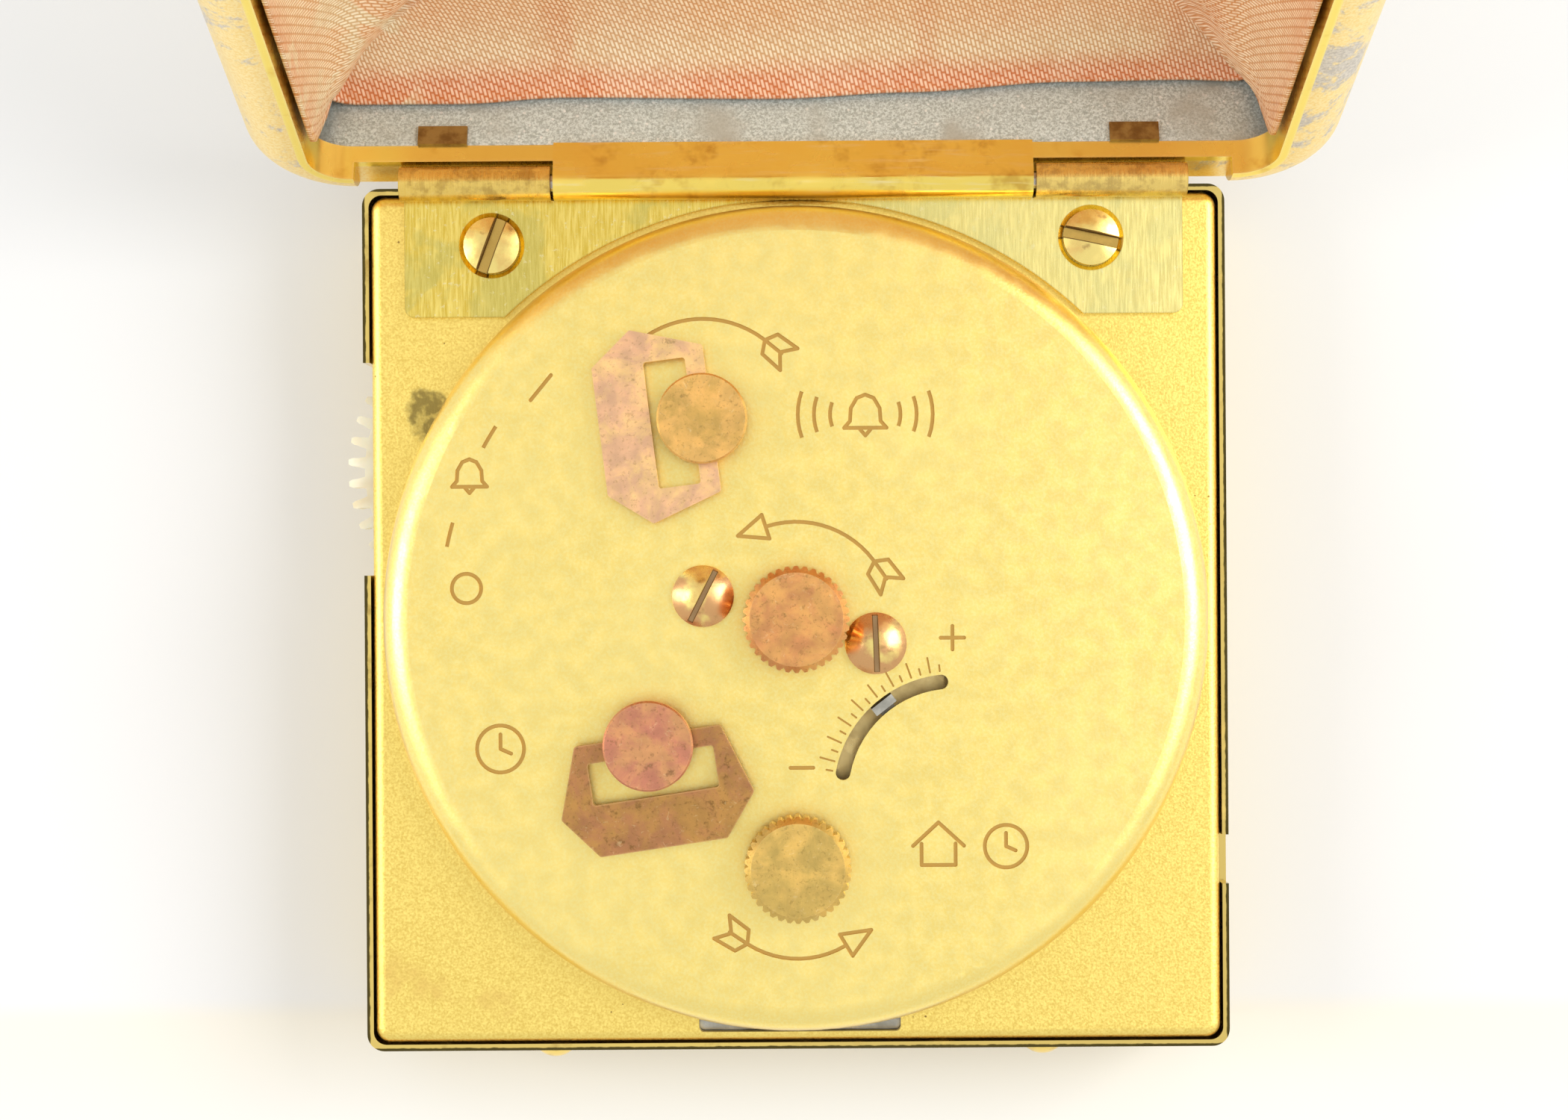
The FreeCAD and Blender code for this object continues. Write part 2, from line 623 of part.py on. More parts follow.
def key_post(place, wing_angle):
    """Disc on a post with a cross hole for the wing's bar, and the winding arbor below."""
    disc_z = WING_AXIS_Z + KEY_DISC_LOW
    disc = cyl(KEY_DISC_R, disc_z, disc_z + KEY_DISC_THICK, *place)
    top = disc_z + KEY_DISC_THICK
    disc = disc.makeChamfer(0.12, edges_where(disc, lambda e: e.BoundBox.ZMin > top - 1e-6))
    post = cyl(KEY_POST_R, 14.2, disc_z + 0.1, *place)
    along = V(*polar(1, wing_angle - 90), 0)
    hole = Part.makeCylinder(0.74, 8, V(place[0], place[1], WING_AXIS_Z) - along * 4, along)
    return disc.fuse(post.cut(hole)).removeSplitter()


def key_arbor(place):
    """Winding arbor through the barrel with the ratchet wheel on top of the rear plate."""
    ratchet = saw_wheel(20, 4.2, 3.7, 12.95, 13.6, place)
    return fuse([ratchet, cyl(1.2, 13.5, 14.2, *place), cyl(0.9, 5.25, 13.0, *place)])


def key_wing(place, wing_angle):
    """Folding wing: a six-sided frame whose inner bar runs through the post."""
    bevel, reach, tip, root = 4.35, 7.0, 6.6, 5.0
    outline = [(-WING_BAR, -root), (4.15, -tip), (reach, -bevel)]
    outline += [(x, -y) for x, y in reversed(outline)]
    z0, z1 = WING_AXIS_Z - WING_THICK / 2, WING_AXIS_Z + WING_THICK / 2
    plate = prism(outline, z0, z1)
    upright = edges_where(plate, lambda e: e.BoundBox.ZLength > WING_THICK - 1e-6)
    plate = plate.makeFillet(0.25, upright)
    w, v = WING_WINDOW
    window = rounded_block(WING_BAR, w, -v, v, z0 - 1, z1 + 1, 0.2)
    return moved(turned(plate.cut(window), 180 + wing_angle), *place)


def knurled_knob(place, post_low):
    """Low knurled knob with a bevelled top on a short hub."""
    points = []
    for k in range(KNURLS):
        for r, step in ((KNOB_R, -0.18), (KNOB_R, 0.18), (KNOB_R - 0.28, 0.5)):
            points.append(polar(r, 360.0 * (k + step) / KNURLS, *place))
    body = prism(points, KNOB_LOW, KNOB_HIGH)
    bevel = Part.makeCone(KNOB_R + 1.9, KNOB_R - 0.45, 2.35, V(place[0], place[1], KNOB_HIGH - 2.35))
    hub = cyl(1.6, KNOB_LOW - 0.55, KNOB_LOW + 0.1, *place)
    return fuse([body.common(bevel), hub, cyl(0.95, post_low, KNOB_LOW, *place)])


def alarm_set_knob():
    return knurled_knob(ALARM_KNOB, 14.0)


def time_set_knob():
    return knurled_knob(SET_KNOB, 14.0)


# Hands and motion work ---------------------------------------------------------------------------

def hand(place, length, tail, width, z0, z1, hub, bore, angle):
    """Tapering hand that points at the angle, pierced for its arbor."""
    half = width / 2
    outline = [(-tail, -half * 0.5), (length * 0.6, -half), (length, -0.08), (length, 0.08)]
    outline += [(length * 0.6, half), (-tail, half * 0.5)]
    blade = prism(outline, z0, z1)
    blade = moved(turned(blade, angle), *place)
    return fuse([blade, cyl(hub, z0, z1, *place)]).cut(cyl(bore, z0 - 1, z1 + 1, *place))


CANNON = (10, 30, 8, 32)    # teeth: cannon pinion, minute wheel, minute pinion, hour wheel
SET_TEETH = 32
MOTION_MODULE = mesh_module(ALARM_KNOB, MINUTE_ARBOR, CANNON[0], CANNON[1])


def alarm_arbor():
    """Innermost arbor, from the alarm knob at the back to the alarm hand in front."""
    return fuse([cyl(0.45, 1.5, 14.0, *ALARM_KNOB), cyl(0.95, 13.2, 14.0, *ALARM_KNOB)])


def alarm_hand():
    return hand(ALARM_KNOB, 13.0, 3.0, 1.2, 1.5, 1.7, 1.3, 0.45, 150)


def cannon_pinion():
    """Pinion and pipe that carry the minute hand."""
    pipe = cyl(0.85, 1.95, 5.1, *ALARM_KNOB)
    toward = facing(ALARM_KNOB, MINUTE_ARBOR)
    teeth = gear(CANNON[0], MOTION_MODULE, 4.25, 4.95, ALARM_KNOB, toward, pinion=True)
    return fuse([teeth, pipe]).cut(cyl(0.5, 1, 6, *ALARM_KNOB))


def minute_hand():
    return hand(ALARM_KNOB, 21.0, 4.5, 1.5, 1.95, 2.15, 1.7, 0.85, 60)


def minute_wheel():
    """Wheel and pinion between the cannon pinion and the hour wheel."""
    gap = gap_phase(CANNON[1], MINUTE_ARBOR, ALARM_KNOB)
    toward = facing(MINUTE_ARBOR, ALARM_KNOB)
    wheel = gear(CANNON[1], MOTION_MODULE, 4.4, 4.8, MINUTE_ARBOR, gap)
    leaves = gear(CANNON[2], MOTION_MODULE, 3.45, 4.45, MINUTE_ARBOR, toward, pinion=True)
    return fuse([wheel, leaves, cyl(0.4, 3.4, 5.9, *MINUTE_ARBOR)])


def hour_wheel():
    gap = gap_phase(CANNON[3], ALARM_KNOB, MINUTE_ARBOR)
    wheel = gear(CANNON[3], MOTION_MODULE, 3.6, 4.0, ALARM_KNOB, gap)
    return wheel.fuse(cyl(1.3, 2.35, 3.8, *ALARM_KNOB)).cut(cyl(0.9, 1, 6, *ALARM_KNOB))


def hour_hand():
    return hand(ALARM_KNOB, 14.0, 3.6, 2.0, 2.35, 2.55, 2.1, 1.3, -60)


def set_wheel():
    """Wheel on the setting arbor, in mesh with the minute wheel."""
    phase = facing(SET_KNOB, MINUTE_ARBOR)
    toward = facing(MINUTE_ARBOR, SET_KNOB)
    wheel_tooth = gap_phase(CANNON[1], MINUTE_ARBOR, ALARM_KNOB)
    pitch = 360.0 / CANNON[1]
    offset = ((toward - wheel_tooth) % pitch) / pitch
    phase += (offset + 0.5) * 360.0 / SET_TEETH
    wheel = gear(SET_TEETH, MOTION_MODULE, 4.4, 4.8, SET_KNOB, phase)
    return fuse([wheel, cyl(0.7, 4.3, 14.0, *SET_KNOB), cyl(0.95, 13.2, 14.0, *SET_KNOB)])


# Going train -------------------------------------------------------------------------------------

BARREL_TEETH, CENTRE_PINION = 64, 10
CENTRE_TEETH, THIRD_PINION = 64, 8
THIRD_TEETH, FOURTH_PINION = 60, 8
FOURTH_TEETH, ESCAPE_PINION = 60, 8
CENTRE = ALARM_KNOB
THIRD = polar(9.0, 20.0, *CENTRE)
FOURTH = polar(7.48, -10.0, *THIRD)
ESCAPE = polar(6.8, -100.0, *FOURTH)
PALLET_REACH = 3.8          # from the escape wheel to the pallet, in line with the balance
PALLET = polar(PALLET_REACH, facing(ESCAPE, BALANCE), *ESCAPE)
BARREL_MODULE = mesh_module(TIME_KEY, CENTRE, BARREL_TEETH, CENTRE_PINION)
CENTRE_MODULE = mesh_module(CENTRE, THIRD, CENTRE_TEETH, THIRD_PINION)
THIRD_MODULE = mesh_module(THIRD, FOURTH, THIRD_TEETH, FOURTH_PINION)
FOURTH_MODULE = mesh_module(FOURTH, ESCAPE, FOURTH_TEETH, ESCAPE_PINION)


def barrel(place, teeth, module, phase, drum_r):
    """Mainspring barrel: a toothed flange and a drum with its cap, free on the winding arbor."""
    flange = gear(teeth, module, 6.6, 7.4, place, phase)
    drum = cyl(drum_r, 6.6, 11.1, *place)
    hollow = cyl(drum_r - 0.5, 7.1, 10.6, *place)
    return fuse([flange, drum]).cut(hollow).cut(cyl(0.95, 6, 12, *place))


def time_barrel():
    return barrel(TIME_KEY, BARREL_TEETH, BARREL_MODULE, facing(TIME_KEY, CENTRE), 10.3)


def time_mainspring():
    return spiral_strip(TIME_KEY, 3.0, 9.2, 9, 0.28, 7.4, 10.3)


def centre_wheel():
    """Hollow centre arbor that turns round the alarm arbor, with its pinion and wheel."""
    gap = gap_phase(CENTRE_PINION, CENTRE, TIME_KEY)
    pinion = gear(CENTRE_PINION, BARREL_MODULE, 6.4, 7.8, CENTRE, gap, pinion=True)
    wheel = gear(CENTRE_TEETH, CENTRE_MODULE, 11.35, 11.75, CENTRE, facing(CENTRE, THIRD))
    pipe = cyl(0.9, 5.25, 12.7, *CENTRE)
    return fuse([pinion, wheel, pipe]).cut(cyl(0.5, 4, 14, *CENTRE))


def third_wheel():
    gap = gap_phase(THIRD_PINION, THIRD, CENTRE)
    pinion = gear(THIRD_PINION, CENTRE_MODULE, 11.2, 11.9, THIRD, gap, pinion=True)
    wheel = gear(THIRD_TEETH, THIRD_MODULE, 8.4, 8.8, THIRD, facing(THIRD, FOURTH))
    return fuse([pinion, wheel, arbor(THIRD)])


def fourth_wheel():
    gap = gap_phase(FOURTH_PINION, FOURTH, THIRD)
    pinion = gear(FOURTH_PINION, THIRD_MODULE, 8.1, 9.1, FOURTH, gap, pinion=True)
    wheel = gear(FOURTH_TEETH, FOURTH_MODULE, 6.6, 7.0, FOURTH, facing(FOURTH, ESCAPE))
    return fuse([pinion, wheel, arbor(FOURTH, r=0.5)])


def escape_wheel():
    gap = gap_phase(ESCAPE_PINION, ESCAPE, FOURTH)
    pinion = gear(ESCAPE_PINION, FOURTH_MODULE, 6.3, 7.3, ESCAPE, gap, pinion=True)
    wheel = saw_wheel(15, 3.0, 2.35, 9.4, 9.75, ESCAPE)
    return fuse([pinion, wheel, arbor(ESCAPE, r=0.45)])


def pallet_fork():
    """Anchor with two stones beside the escape wheel and a forked tail towards the balance."""
    away = facing(PALLET, BALANCE)
    z0, z1 = 9.35, 9.8
    pieces = [cyl(0.75, z0, z1, *PALLET), cyl(PIVOT_R, FRONT_PLATE[0], 10.1, *PALLET)]
    for side in (-1, 1):
        tip = polar(3.6, facing(ESCAPE, PALLET) + side * 44, *ESCAPE)
        arm = box(0, math.dist(PALLET, tip), -0.3, 0.3, z0, z1)
        pieces.append(moved(turned(arm, facing(PALLET, tip)), *PALLET))
        stone = box(-0.25, 0.3, -0.2, 0.2, z0, z1)
        pieces.append(moved(turned(stone, facing(ESCAPE, tip)), *tip))
    pieces.append(moved(turned(box(0, 2.6, -0.25, 0.25, z0, z1), away), *PALLET))
    pieces.append(moved(turned(box(2.3, 2.6, -0.5, 0.5, z0, z1), away), *PALLET))
    for side in (-1, 1):
        horn = box(2.4, 3.2, side * 0.38 - 0.12, side * 0.38 + 0.12, z0, z1)
        pieces.append(moved(turned(horn, away), *PALLET))
    return fuse(pieces).cut(cyl(3.2, 9, 9.95, *ESCAPE))


def balance_wheel():
    """Balance with two arms, its staff, and the roller that works the fork."""
    rim = tube(6.8, 6.1, 10.3, 11.0, *BALANCE)
    arms = moved(turned(box(-6.3, 6.3, -0.45, 0.45, 10.45, 10.85), facing(BALANCE, PALLET) + 90), *BALANCE)
    roller = cyl(0.85, 9.35, 9.8, *BALANCE)
    return fuse([rim, arms, roller, cyl(0.75, 9.3, 11.2, *BALANCE), arbor(BALANCE, r=0.4)])


def hairspring():
    return spiral_strip(BALANCE, 0.95, 3.3, 6, 0.08, 11.45, 11.7)


def regulator_lever():
    """Index that turns about the balance staff, its upturned tip showing in the cover's slot."""
    z0, z1 = 12.95, 13.35
    hub = tube(1.6, 0.7, z0, z1, *BALANCE)
    arm = box(1.0, SLOT_R + 0.2, -0.55, 0.55, z0, z1)
    tail = box(-2.6, -1.0, -0.4, 0.4, z0, z1)
    tip = box(SLOT_R - 0.3, SLOT_R + 0.3, -0.85, 0.85, z0, COVER_TOP - 0.15)
    return fuse([hub] + [moved(turned(p, REGULATOR_REST), *BALANCE) for p in (arm, tail, tip)])


# Alarm work --------------------------------------------------------------------------------------

ALARM_TEETH, ALARM_PINION = 56, 8
ALARM_ESCAPE = polar(10.4, 8.0, *ALARM_KEY)
ALARM_MODULE = mesh_module(ALARM_KEY, ALARM_ESCAPE, ALARM_TEETH, ALARM_PINION)
HAMMER = polar(4.5, 25.0, *ALARM_ESCAPE)


def alarm_barrel():
    return barrel(ALARM_KEY, ALARM_TEETH, ALARM_MODULE, facing(ALARM_KEY, ALARM_ESCAPE), 7.1)


def alarm_mainspring():
    return spiral_strip(ALARM_KEY, 2.4, 6.1, 6, 0.25, 7.4, 10.3)


def alarm_escape_wheel():
    gap = gap_phase(ALARM_PINION, ALARM_ESCAPE, ALARM_KEY)
    pinion = gear(ALARM_PINION, ALARM_MODULE, 6.3, 7.7, ALARM_ESCAPE, gap, pinion=True)
    wheel = saw_wheel(18, 3.0, 2.4, 9.0, 9.4, ALARM_ESCAPE)
    return fuse([pinion, wheel, arbor(ALARM_ESCAPE)])


HAMMER_AIM = 20.0           # direction of the hammer's head from its arbor
HAMMER_REACH = 5.8


def alarm_hammer():
    """Hammer arm with its verge beside the alarm escape wheel and a round head."""
    z0, z1 = 8.9, 9.5
    pieces = [cyl(0.8, z0, z1, *HAMMER), arbor(HAMMER, r=0.5)]
    for side in (-1, 1):
        tip = polar(3.75, facing(ALARM_ESCAPE, HAMMER) + side * 34, *ALARM_ESCAPE)
        arm = box(0, math.dist(HAMMER, tip), -0.25, 0.25, z0, z1)
        pieces.append(moved(turned(arm, facing(HAMMER, tip)), *HAMMER))
    pieces.append(moved(turned(box(0, HAMMER_REACH, -0.35, 0.35, z0, z1), HAMMER_AIM), *HAMMER))
    pieces.append(cyl(1.3, z0 - 0.6, z1 + 0.6, *polar(HAMMER_REACH, HAMMER_AIM, *HAMMER)))
    return fuse(pieces).cut(cyl(3.4, 8, 10, *ALARM_ESCAPE))


def sound_post():
    """Post between the plates that the hammer strikes."""
    head = polar(HAMMER_REACH, HAMMER_AIM, *HAMMER)
    return cyl(0.6, FRONT_PLATE[1], REAR_PLATE[0], *polar(2.6, HAMMER_AIM - 90, *head))


def clicks():
    """The two pawls that hold the ratchet wheels."""
    pawls = []
    for place, angle in ((ALARM_KEY, 200.0), (TIME_KEY, 160.0)):
        pivot = polar(6.2, angle, *place)
        nose = polar(4.35, angle + 24, *place)
        arm = box(0, math.dist(pivot, nose), -0.3, 0.3, 12.95, 13.5)
        arm = moved(turned(arm, facing(pivot, nose)), *pivot).cut(cyl(4.28, 12, 14, *place))
        pawls.append(fuse([arm, cyl(0.8, 12.95, 13.5, *pivot), cyl(0.35, 12.81, 13.0, *pivot)]))
    return Part.Compound(pawls)


def alarm_switch():
    """Toothed plastic lever that turns about a pivot beside the movement; its rim shows in the side slot."""
    tip, root, teeth, pitch = 10.65, 9.5, 8, 8.35
    z0, z1 = 8.2, 10.2
    middle = 181.0
    span = pitch * teeth / 2 + 3
    points = []
    for k in range(teeth):
        a = middle + (k - (teeth - 1) / 2) * pitch
        flank = ((root, 2.5), (root + 0.55, 1.75), (tip - 0.25, 1.6), (tip, 0.9))
        points += [polar(radius, a - offset, *SWITCH) for radius, offset in flank]
        points += [polar(radius, a + offset, *SWITCH) for radius, offset in reversed(flank)]
    inner = [polar(7.6, middle + span - 2 * span * k / 10, *SWITCH) for k in range(11)]
    sector = prism(points + inner, z0, z1)
    arm = moved(turned(box(0, 8.0, -1.1, 1.1, z0, z1), middle), *SWITCH)
    hub = cyl(1.5, z0, z1 + 0.3, *SWITCH)
    return fuse([sector, arm, hub]).cut(cyl(0.65, 6, 13, *SWITCH))


# Plates ------------------------------------------------------------------------------------------

ARBOR_HOLES = (THIRD, FOURTH, ESCAPE, BALANCE, ALARM_ESCAPE, HAMMER)
PILLARS = tuple(polar(23.0, a) for a in (-90, -35, 20, 90, 190))


def movement_plate(z0, z1, rear):
    """Round plate with a running hole for every pivot."""
    plate = cyl(PLATE_R, z0, z1)
    holes = [cyl(PIVOT_R + FIT, z0 - 1, z1 + 1, *p) for p in ARBOR_HOLES]
    holes += [cyl(0.95, z0 - 1, z1 + 1, *p) for p in (TIME_KEY, ALARM_KEY, CENTRE)]
    holes.append(cyl(0.75, z0 - 1, z1 + 1, *SET_KNOB))
    if not rear:
        holes += [cyl(PIVOT_R + FIT, z0 - 1, z1 + 1, *p) for p in (MINUTE_ARBOR, PALLET)]
    flat = box(-40, -CLOCK / 2 + 7.0, SWITCH[1] - 13, SWITCH[1] + 13, z0 - 1, z1 + 1)
    plate = plate.cut(fuse(holes)).cut(flat)
    if rear:
        return plate.cut(fuse([cyl(1.0, z0 - 1, z1 + 1, x, y) for x, y, _ in COVER_SCREWS]))
    return fuse([plate, cyl(0.6, z0, 10.8, *SWITCH)])


def front_movement_plate():
    return movement_plate(*FRONT_PLATE, rear=False)


def rear_movement_plate():
    return movement_plate(*REAR_PLATE, rear=True)


def plate_pillars():
    """Pillars between the plates, and the post that the alarm hammer strikes."""
    pillars = [cyl(1.1, FRONT_PLATE[1], REAR_PLATE[0], *p) for p in PILLARS]
    return Part.Compound(pillars + [sound_post()])


def casing_ring():
    """Nickelled ring round the movement, from the dial back to the pan; its rim shows in the pan's slot."""
    ring = tube(25.4, 25.05, DIAL[1], 11.6)
    flange = tube(28.3, 25.2, 11.0, 11.4)
    ring = fuse([ring, flange, box(-8, 8, -28.75, -25.3, 11.0, 11.5)])
    opening = box(-40, -14, SWITCH[1] - 13.5, SWITCH[1] + 13.5, 4.9, 20)
    return ring.cut(opening).cut(fuse([cyl(1.2, 10, 14, x, y) for x, y, _ in LEAF_SCREWS]))


def build():
    """Every sub-part by name."""
    return {
        "front_case": front_case(),
        "bezel_ring": bezel_ring(),
        "crystal": crystal(),
        "dial": dial(),
        "back_pan": back_pan(),
        "movement_cover": movement_cover(),
        "cover_screws": cover_screws(),
        "clock_hinge_leaf": clock_hinge_leaf(),
        "leaf_screws": leaf_screws(),
        "clock_hinge_pin": clock_hinge_pin(),
        "foot_studs": foot_studs(),
        "front_movement_plate": front_movement_plate(),
        "rear_movement_plate": rear_movement_plate(),
        "plate_pillars": plate_pillars(),
        "casing_ring": casing_ring(),
        "hairspring": hairspring(),
        "back_shell_pan": back_shell_pan(),
        "back_shell_frame": back_shell_frame(),
        "back_shell_lining": back_shell_lining(),
        "hinge_side_liner": hinge_side_liner(),
        "frame_tabs": frame_tabs(),
        "shell_hinge_leaf": shell_hinge_leaf(),
        "case_hinge_leaf_back": case_hinge_leaf_back(),
        "case_hinge_pin": case_hinge_pin(),
        "front_shell_pan": front_shell_pan(),
        "front_shell_frame": front_shell_frame(),
        "front_shell_lining": front_shell_lining(),
        "case_hinge_leaf_front": case_hinge_leaf_front(),
        "closing_tongues": closing_tongues(),
        "alarm_key_post": key_post(ALARM_KEY, WING_ANGLE["alarm"]),
        "alarm_key_arbor": key_arbor(ALARM_KEY),
        "alarm_key_wing": key_wing(ALARM_KEY, WING_ANGLE["alarm"]),
        "time_key_post": key_post(TIME_KEY, WING_ANGLE["time"]),
        "time_key_arbor": key_arbor(TIME_KEY),
        "time_key_wing": key_wing(TIME_KEY, WING_ANGLE["time"]),
        "clicks": clicks(),
        "alarm_set_knob": alarm_set_knob(),
        "alarm_arbor": alarm_arbor(),
        "alarm_hand": alarm_hand(),
        "time_set_knob": time_set_knob(),
        "set_wheel": set_wheel(),
        "cannon_pinion": cannon_pinion(),
        "minute_hand": minute_hand(),
        "minute_wheel": minute_wheel(),
        "hour_wheel": hour_wheel(),
        "hour_hand": hour_hand(),
        "alarm_switch": alarm_switch(),
        "regulator_lever": regulator_lever(),
        "time_barrel": time_barrel(),
        "time_mainspring": time_mainspring(),
        "centre_wheel": centre_wheel(),
        "third_wheel": third_wheel(),
        "fourth_wheel": fourth_wheel(),
        "escape_wheel": escape_wheel(),
        "pallet_fork": pallet_fork(),
        "balance_wheel": balance_wheel(),
        "alarm_barrel": alarm_barrel(),
        "alarm_mainspring": alarm_mainspring(),
        "alarm_escape_wheel": alarm_escape_wheel(),
        "alarm_hammer": alarm_hammer(),
    }


def main():
    os.makedirs("parts", exist_ok=True)
    for name, shape in build().items():
        shape.exportStep(os.path.join("parts", name + ".step"))


if __name__ == "__main__":
    main()
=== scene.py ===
"""Looks for the folding travel alarm clock: it lies on its face with its case open, seen from above."""
import json
import math
import bmesh
import bpy
from mathutils import Matrix, Vector, noise


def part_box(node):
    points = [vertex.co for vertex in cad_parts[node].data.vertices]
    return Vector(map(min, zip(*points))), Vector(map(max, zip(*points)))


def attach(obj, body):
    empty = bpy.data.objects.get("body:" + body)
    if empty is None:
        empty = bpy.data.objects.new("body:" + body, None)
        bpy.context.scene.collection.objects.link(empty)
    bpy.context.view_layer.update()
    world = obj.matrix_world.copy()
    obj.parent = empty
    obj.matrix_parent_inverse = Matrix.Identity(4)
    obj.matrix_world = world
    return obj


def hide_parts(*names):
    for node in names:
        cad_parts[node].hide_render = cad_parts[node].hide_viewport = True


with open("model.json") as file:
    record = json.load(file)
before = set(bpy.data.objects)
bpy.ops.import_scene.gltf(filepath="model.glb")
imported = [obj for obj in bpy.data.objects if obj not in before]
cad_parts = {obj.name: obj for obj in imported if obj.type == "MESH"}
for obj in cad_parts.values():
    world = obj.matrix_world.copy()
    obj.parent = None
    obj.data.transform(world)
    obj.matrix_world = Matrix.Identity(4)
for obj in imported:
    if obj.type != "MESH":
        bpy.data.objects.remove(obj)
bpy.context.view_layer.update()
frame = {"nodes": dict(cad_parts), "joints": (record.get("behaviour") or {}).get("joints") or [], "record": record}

MM = 0.001
NODES = frame["nodes"]


def place_of(name):
    """Position of a joint in the row frame."""
    for joint in frame["joints"]:
        if joint["name"] == name:
            return Vector(joint["pos_m"])
    raise KeyError(name)


def top_of(node):
    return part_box(node)[1][2]


HINGE = place_of("back_shell_hinge")
FAR_HINGE = place_of("front_shell_hinge")
ALONG = (FAR_HINGE - HINGE).normalized()          # up the open shell, away from the clock
ACROSS = Vector((1, 0, 0))
OUT = ACROSS.cross(ALONG)                         # out of the shell's mouth
PAN_Z = top_of("back_pan")
COVER_Z = top_of("movement_cover")


# Materials ---------------------------------------------------------------------------------------

class Shader:
    """Builds one node material step by step."""

    def __init__(self, name, rough=0.5, metal=0.0, **sockets):
        self.mat = bpy.data.materials.new(name)
        self.mat.use_nodes = True
        self.tree = self.mat.node_tree
        self.bsdf = self.tree.nodes["Principled BSDF"]
        self.bsdf.inputs["Roughness"].default_value = rough
        self.bsdf.inputs["Metallic"].default_value = metal
        for socket, value in sockets.items():
            self.bsdf.inputs[socket.replace("_", " ")].default_value = value
        self.coords = self.node("ShaderNodeTexCoord").outputs["Object"]
        self.normal = None

    def node(self, kind, **fields):
        made = self.tree.nodes.new(kind)
        for field, value in fields.items():
            setattr(made, field, value)
        return made

    def put(self, socket, value):
        """Links an output to a socket, or sets a plain value."""
        if isinstance(value, bpy.types.NodeSocket):
            self.tree.links.new(value, socket)
        else:
            socket.default_value = value

    def local(self, location=(0, 0, 0), rotation=(0, 0, 0), scale=(1, 1, 1)):
        """Object coordinates moved, turned and stretched."""
        made = self.node("ShaderNodeMapping")
        self.put(made.inputs["Vector"], self.coords)
        made.inputs["Location"].default_value = location
        made.inputs["Rotation"].default_value = rotation
        made.inputs["Scale"].default_value = scale
        return made.outputs["Vector"]

    def noise(self, scale, detail=2.0, rough=0.5, at=None, distortion=0.0):
        made = self.node("ShaderNodeTexNoise")
        self.put(made.inputs["Vector"], at or self.coords)
        made.inputs["Scale"].default_value = scale
        made.inputs["Detail"].default_value = detail
        made.inputs["Roughness"].default_value = rough
        made.inputs["Distortion"].default_value = distortion
        return made.outputs["Fac"]

    def cells(self, scale, at=None, feature="F1", random=1.0):
        made = self.node("ShaderNodeTexVoronoi", feature=feature)
        self.put(made.inputs["Vector"], at or self.coords)
        made.inputs["Scale"].default_value = scale
        made.inputs["Randomness"].default_value = random
        return made.outputs["Distance"]

    def math(self, operation, a, b=0.0, clamp=False):
        made = self.node("ShaderNodeMath", operation=operation, use_clamp=clamp)
        self.put(made.inputs[0], a)
        self.put(made.inputs[1], b)
        return made.outputs[0]

    def ramp(self, value, low, high, lowest=0.0, highest=1.0):
        """Maps low..high smoothly to lowest..highest."""
        made = self.node("ShaderNodeMapRange", interpolation_type="SMOOTHSTEP")
        self.put(made.inputs["Value"], value)
        for socket, number in zip(("From Min", "From Max", "To Min", "To Max"), (low, high, lowest, highest)):
            made.inputs[socket].default_value = number
        return made.outputs["Result"]

    def mix(self, factor, a, b, blend="MIX"):
        made = self.node("ShaderNodeMix", data_type="RGBA", blend_type=blend)
        self.put(made.inputs["Factor"], factor)
        for socket, colour in ((made.inputs["A"], a), (made.inputs["B"], b)):
            if isinstance(colour, bpy.types.NodeSocket):
                self.put(socket, colour)
            else:
                self.put(socket, (*colour, 1.0))
        return made.outputs["Result"]

    def axis(self, letter, at=None):
        made = self.node("ShaderNodeSeparateXYZ")
        self.put(made.inputs[0], at or self.coords)
        return made.outputs[letter]

    def edges(self, radius=0.0005, low=0.02, high=0.3):
        """1 at sharp edges, 0 on flat surface."""
        made = self.node("ShaderNodeBevel", samples=4)
        made.inputs["Radius"].default_value = radius
        plain = self.node("ShaderNodeNewGeometry")
        dot = self.node("ShaderNodeVectorMath", operation="DOT_PRODUCT")
        self.put(dot.inputs[0], made.outputs["Normal"])
        self.put(dot.inputs[1], plain.outputs["Normal"])
        return self.ramp(self.math("SUBTRACT", 1.0, dot.outputs["Value"]), low, high)

    def bump(self, height, distance, strength=1.0):
        made = self.node("ShaderNodeBump")
        self.put(made.inputs["Height"], height)
        made.inputs["Distance"].default_value = distance
        made.inputs["Strength"].default_value = strength
        if self.normal is not None:
            self.put(made.inputs["Normal"], self.normal)
        self.normal = made.outputs["Normal"]
        self.put(self.bsdf.inputs["Normal"], self.normal)

    def local_axes(self, x, y, angle):
        """Distances along and across a line through a place in plan, in metres."""
        made = self.node("ShaderNodeMapping", vector_type="TEXTURE")
        self.put(made.inputs["Vector"], self.coords)
        made.inputs["Location"].default_value = (x * MM, y * MM, 0)
        made.inputs["Rotation"].default_value = (0, 0, math.radians(angle))
        split = self.node("ShaderNodeSeparateXYZ")
        self.put(split.inputs[0], made.outputs["Vector"])
        return [self.math("ABSOLUTE", split.outputs[letter]) for letter in ("X", "Y")]

    def both(self, *masks):
        product = masks[0]
        for mask in masks[1:]:
            product = self.math("MULTIPLY", product, mask)
        return product

    def colour(self, value):
        self.put(self.bsdf.inputs["Base Color"], value)

    def rough(self, value):
        self.put(self.bsdf.inputs["Roughness"], value)


